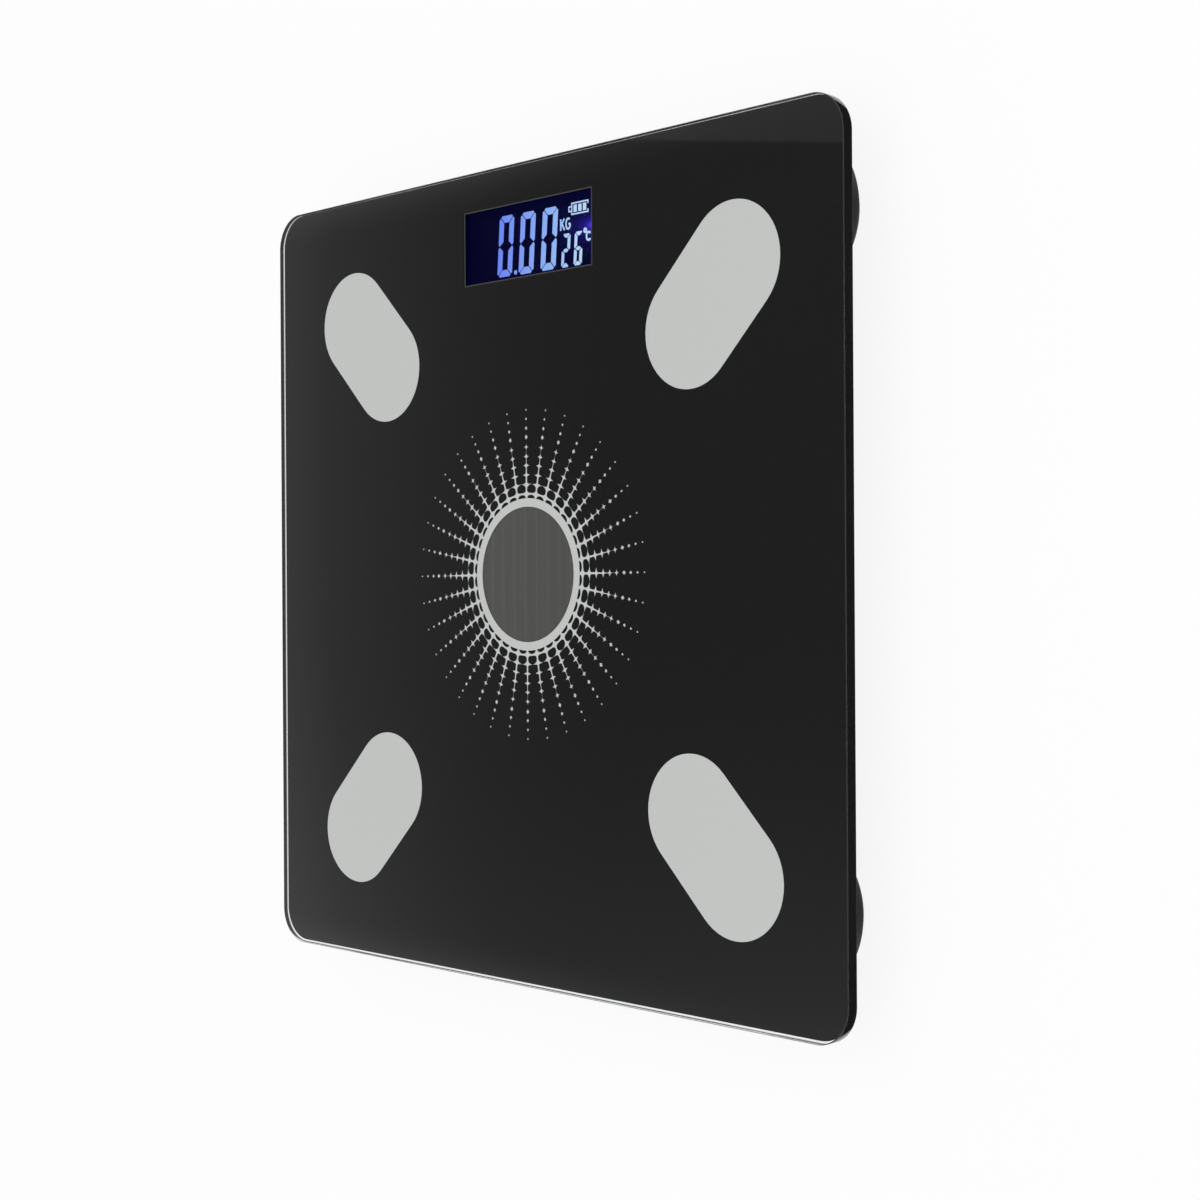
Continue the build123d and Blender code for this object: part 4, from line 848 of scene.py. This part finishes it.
# Studio flags: two black cards that only reflections see. One lies on the floor by the right-hand edge, and
# keeps the white floor out of the ground edge and the feet on that side. The other hangs far up on the left,
# where the display window would mirror the tent, and keeps the display dark.
right_low, right_high, right_level = (0.1245, -0.155), (0.4, 0.3), 0.0004
left_low, left_high, left_level = (-1.795, 0.4515), (-1.5207, 0.56), 1.523
pulp_size = 3.0
black_card, tree, shader, place = new_finish("black_card", {"Roughness": 0.9, "Specular IOR Level": 0.0})
pulp = add_node(tree, "TexNoise", {"Vector": place, "Scale": 1 / (pulp_size * mm)})
card_tone = add_node(
    tree,
    "MixRGB",
    {"Fac": pulp.outputs["Fac"], "Color1": linear("#0a0a0a"), "Color2": linear("#101010")},
)
tree.links.new(card_tone.outputs["Color"], shader.inputs["Base Color"])
floor_flag = stage_sheet("floor_flag", right_low, right_high, right_level, black_card)
display_flag = stage_sheet("display_flag", left_low, left_high, left_level, black_card)
for flag in (floor_flag, display_flag):
    flag.visible_camera = False
    flag.visible_diffuse = False
    flag.visible_shadow = False
# The display's flag has to be seen through the glass too, for the reflection in its lower face
floor_flag.visible_transmission = False

# Studio light: a pale tent of soft light, with a dark card on its left that the black glass mirrors.
# The card's edges are soft, most of all in the front left corner, but for a crisp one at the rear.
# A large soft lamp hangs overhead, and a stronger one under the floor lights the underside.
tent = bpy.data.worlds.new("studio_tent")
tent.use_nodes = True
bpy.context.scene.world = tent
tree = tent.node_tree
axes = add_node(tree, "SeparateXYZ", {"Vector": add_node(tree, "TexCoord").outputs["Generated"]})
sky = add_node(
    tree,
    "MapRange",
    {"Value": axes.outputs["Z"], "From Min": 0.7, "From Max": 1.0, "To Min": 0.9, "To Max": 0.4},
)
rear_tilt = -0.1457
leftwards = add_node(tree, "Math", {0: axes.outputs["X"], 1: -1.0}, operation="MULTIPLY")
sideways = add_node(tree, "Math", {0: axes.outputs["Y"], 1: leftwards.outputs[0]}, operation="DIVIDE")
upwards = add_node(tree, "Math", {0: axes.outputs["Z"], 1: leftwards.outputs[0]}, operation="DIVIDE")
rearwards = add_node(
    tree, "Math", {0: upwards.outputs[0], 1: rear_tilt, 2: sideways.outputs[0]}, operation="MULTIPLY_ADD"
)
frontwards = add_node(tree, "Math", {0: leftwards.outputs[0], 1: axes.outputs["Y"]}, operation="SUBTRACT")
cornerwards = add_node(tree, "Math", {0: frontwards.outputs[0], 1: axes.outputs["Z"]}, operation="DIVIDE")
# Each edge: its slope, where it starts and ends, the share it takes off the card, and the power of its fall
card_edges = [
    (upwards, 1.02, 0.5, 1.0, 2.3),
    (upwards, 0.745, 0.5, 0.8, 1.0),
    (upwards, 1.45, 2.2, 1.0, 1.0),
    (sideways, 0.0, -0.62, 1.0, 2.0),
    (sideways, 0.4, 0.6, 1.0, 1.0),
    (cornerwards, 1.38, 1.7, 0.3, 1.8),
    (rearwards, 0.1748, 0.1778, 0.26, 1.0),
]
card_share = add_node(tree, "Math", {0: leftwards.outputs[0], 1: 0.0}, operation="GREATER_THAN")
for slope, start, end, share, fall in card_edges:
    edge = add_node(tree, "MapRange", {"Value": slope.outputs[0], "From Min": start, "From Max": end})
    edge = add_node(tree, "Math", {0: edge.outputs["Result"], 1: fall}, operation="POWER")
    edge = add_node(tree, "Math", {0: edge.outputs[0], 1: -share, 2: 1.0}, operation="MULTIPLY_ADD")
    card_share = add_node(tree, "Math", {0: card_share.outputs[0], 1: edge.outputs[0]}, operation="MULTIPLY")
tent_light = add_node(
    tree,
    "MixRGB",
    {"Fac": card_share.outputs[0], "Color1": sky.outputs["Result"], "Color2": linear("#080808")},
)
tree.links.new(tent_light.outputs["Color"], tree.nodes["Background"].inputs["Color"])
# Each lamp: its place, its size and its power
lamps = {
    "soft_lamp_overhead": ((0.3, 0.1, 1.3), 1.4, 7.0),
    "soft_lamp_below": ((0.2, -0.5, -1.0), 1.0, 26.0),
}
for name, (spot, size, power) in lamps.items():
    lamp = bpy.data.lights.new(name, "AREA")
    lamp.size = size
    lamp.energy = power
    lamp_object = bpy.data.objects.new(name, lamp)
    bpy.context.scene.collection.objects.link(lamp_object)
    lamp_object.location = spot
    lamp_object.rotation_mode = "QUATERNION"
    lamp_object.rotation_quaternion = (-Vector(spot)).to_track_quat("-Z", "Y")
    lamp_object.visible_glossy = False
    lamp_object.visible_transmission = False
    lamp_object.visible_camera = False

# Camera: high on the right-hand side, turned so that the display end is at the top of the picture.
# Its place, turn and lens were fitted to the corners of the glass.
camera_place = (0.4714, -0.0075, 0.4469)
turn_z, turn_x, turn_y = 0.34, 0.065, -45.825
camera_turn = (
    Matrix.Rotation(radians(turn_z), 3, "Z")
    @ Matrix.Rotation(radians(turn_x), 3, "X")
    @ Matrix.Rotation(radians(turn_y), 3, "Y")
)
camera = bpy.data.cameras.new("camera")
camera.lens = 60.3
camera.sensor_width = 36.0
camera.clip_start = 0.01
camera_object = bpy.data.objects.new("camera", camera)
bpy.context.scene.collection.objects.link(camera_object)
camera_object.matrix_world = Matrix.Translation(camera_place) @ camera_turn.transposed().to_4x4()
bpy.context.scene.camera = camera_object
bpy.context.scene.view_settings.view_transform = "Standard"
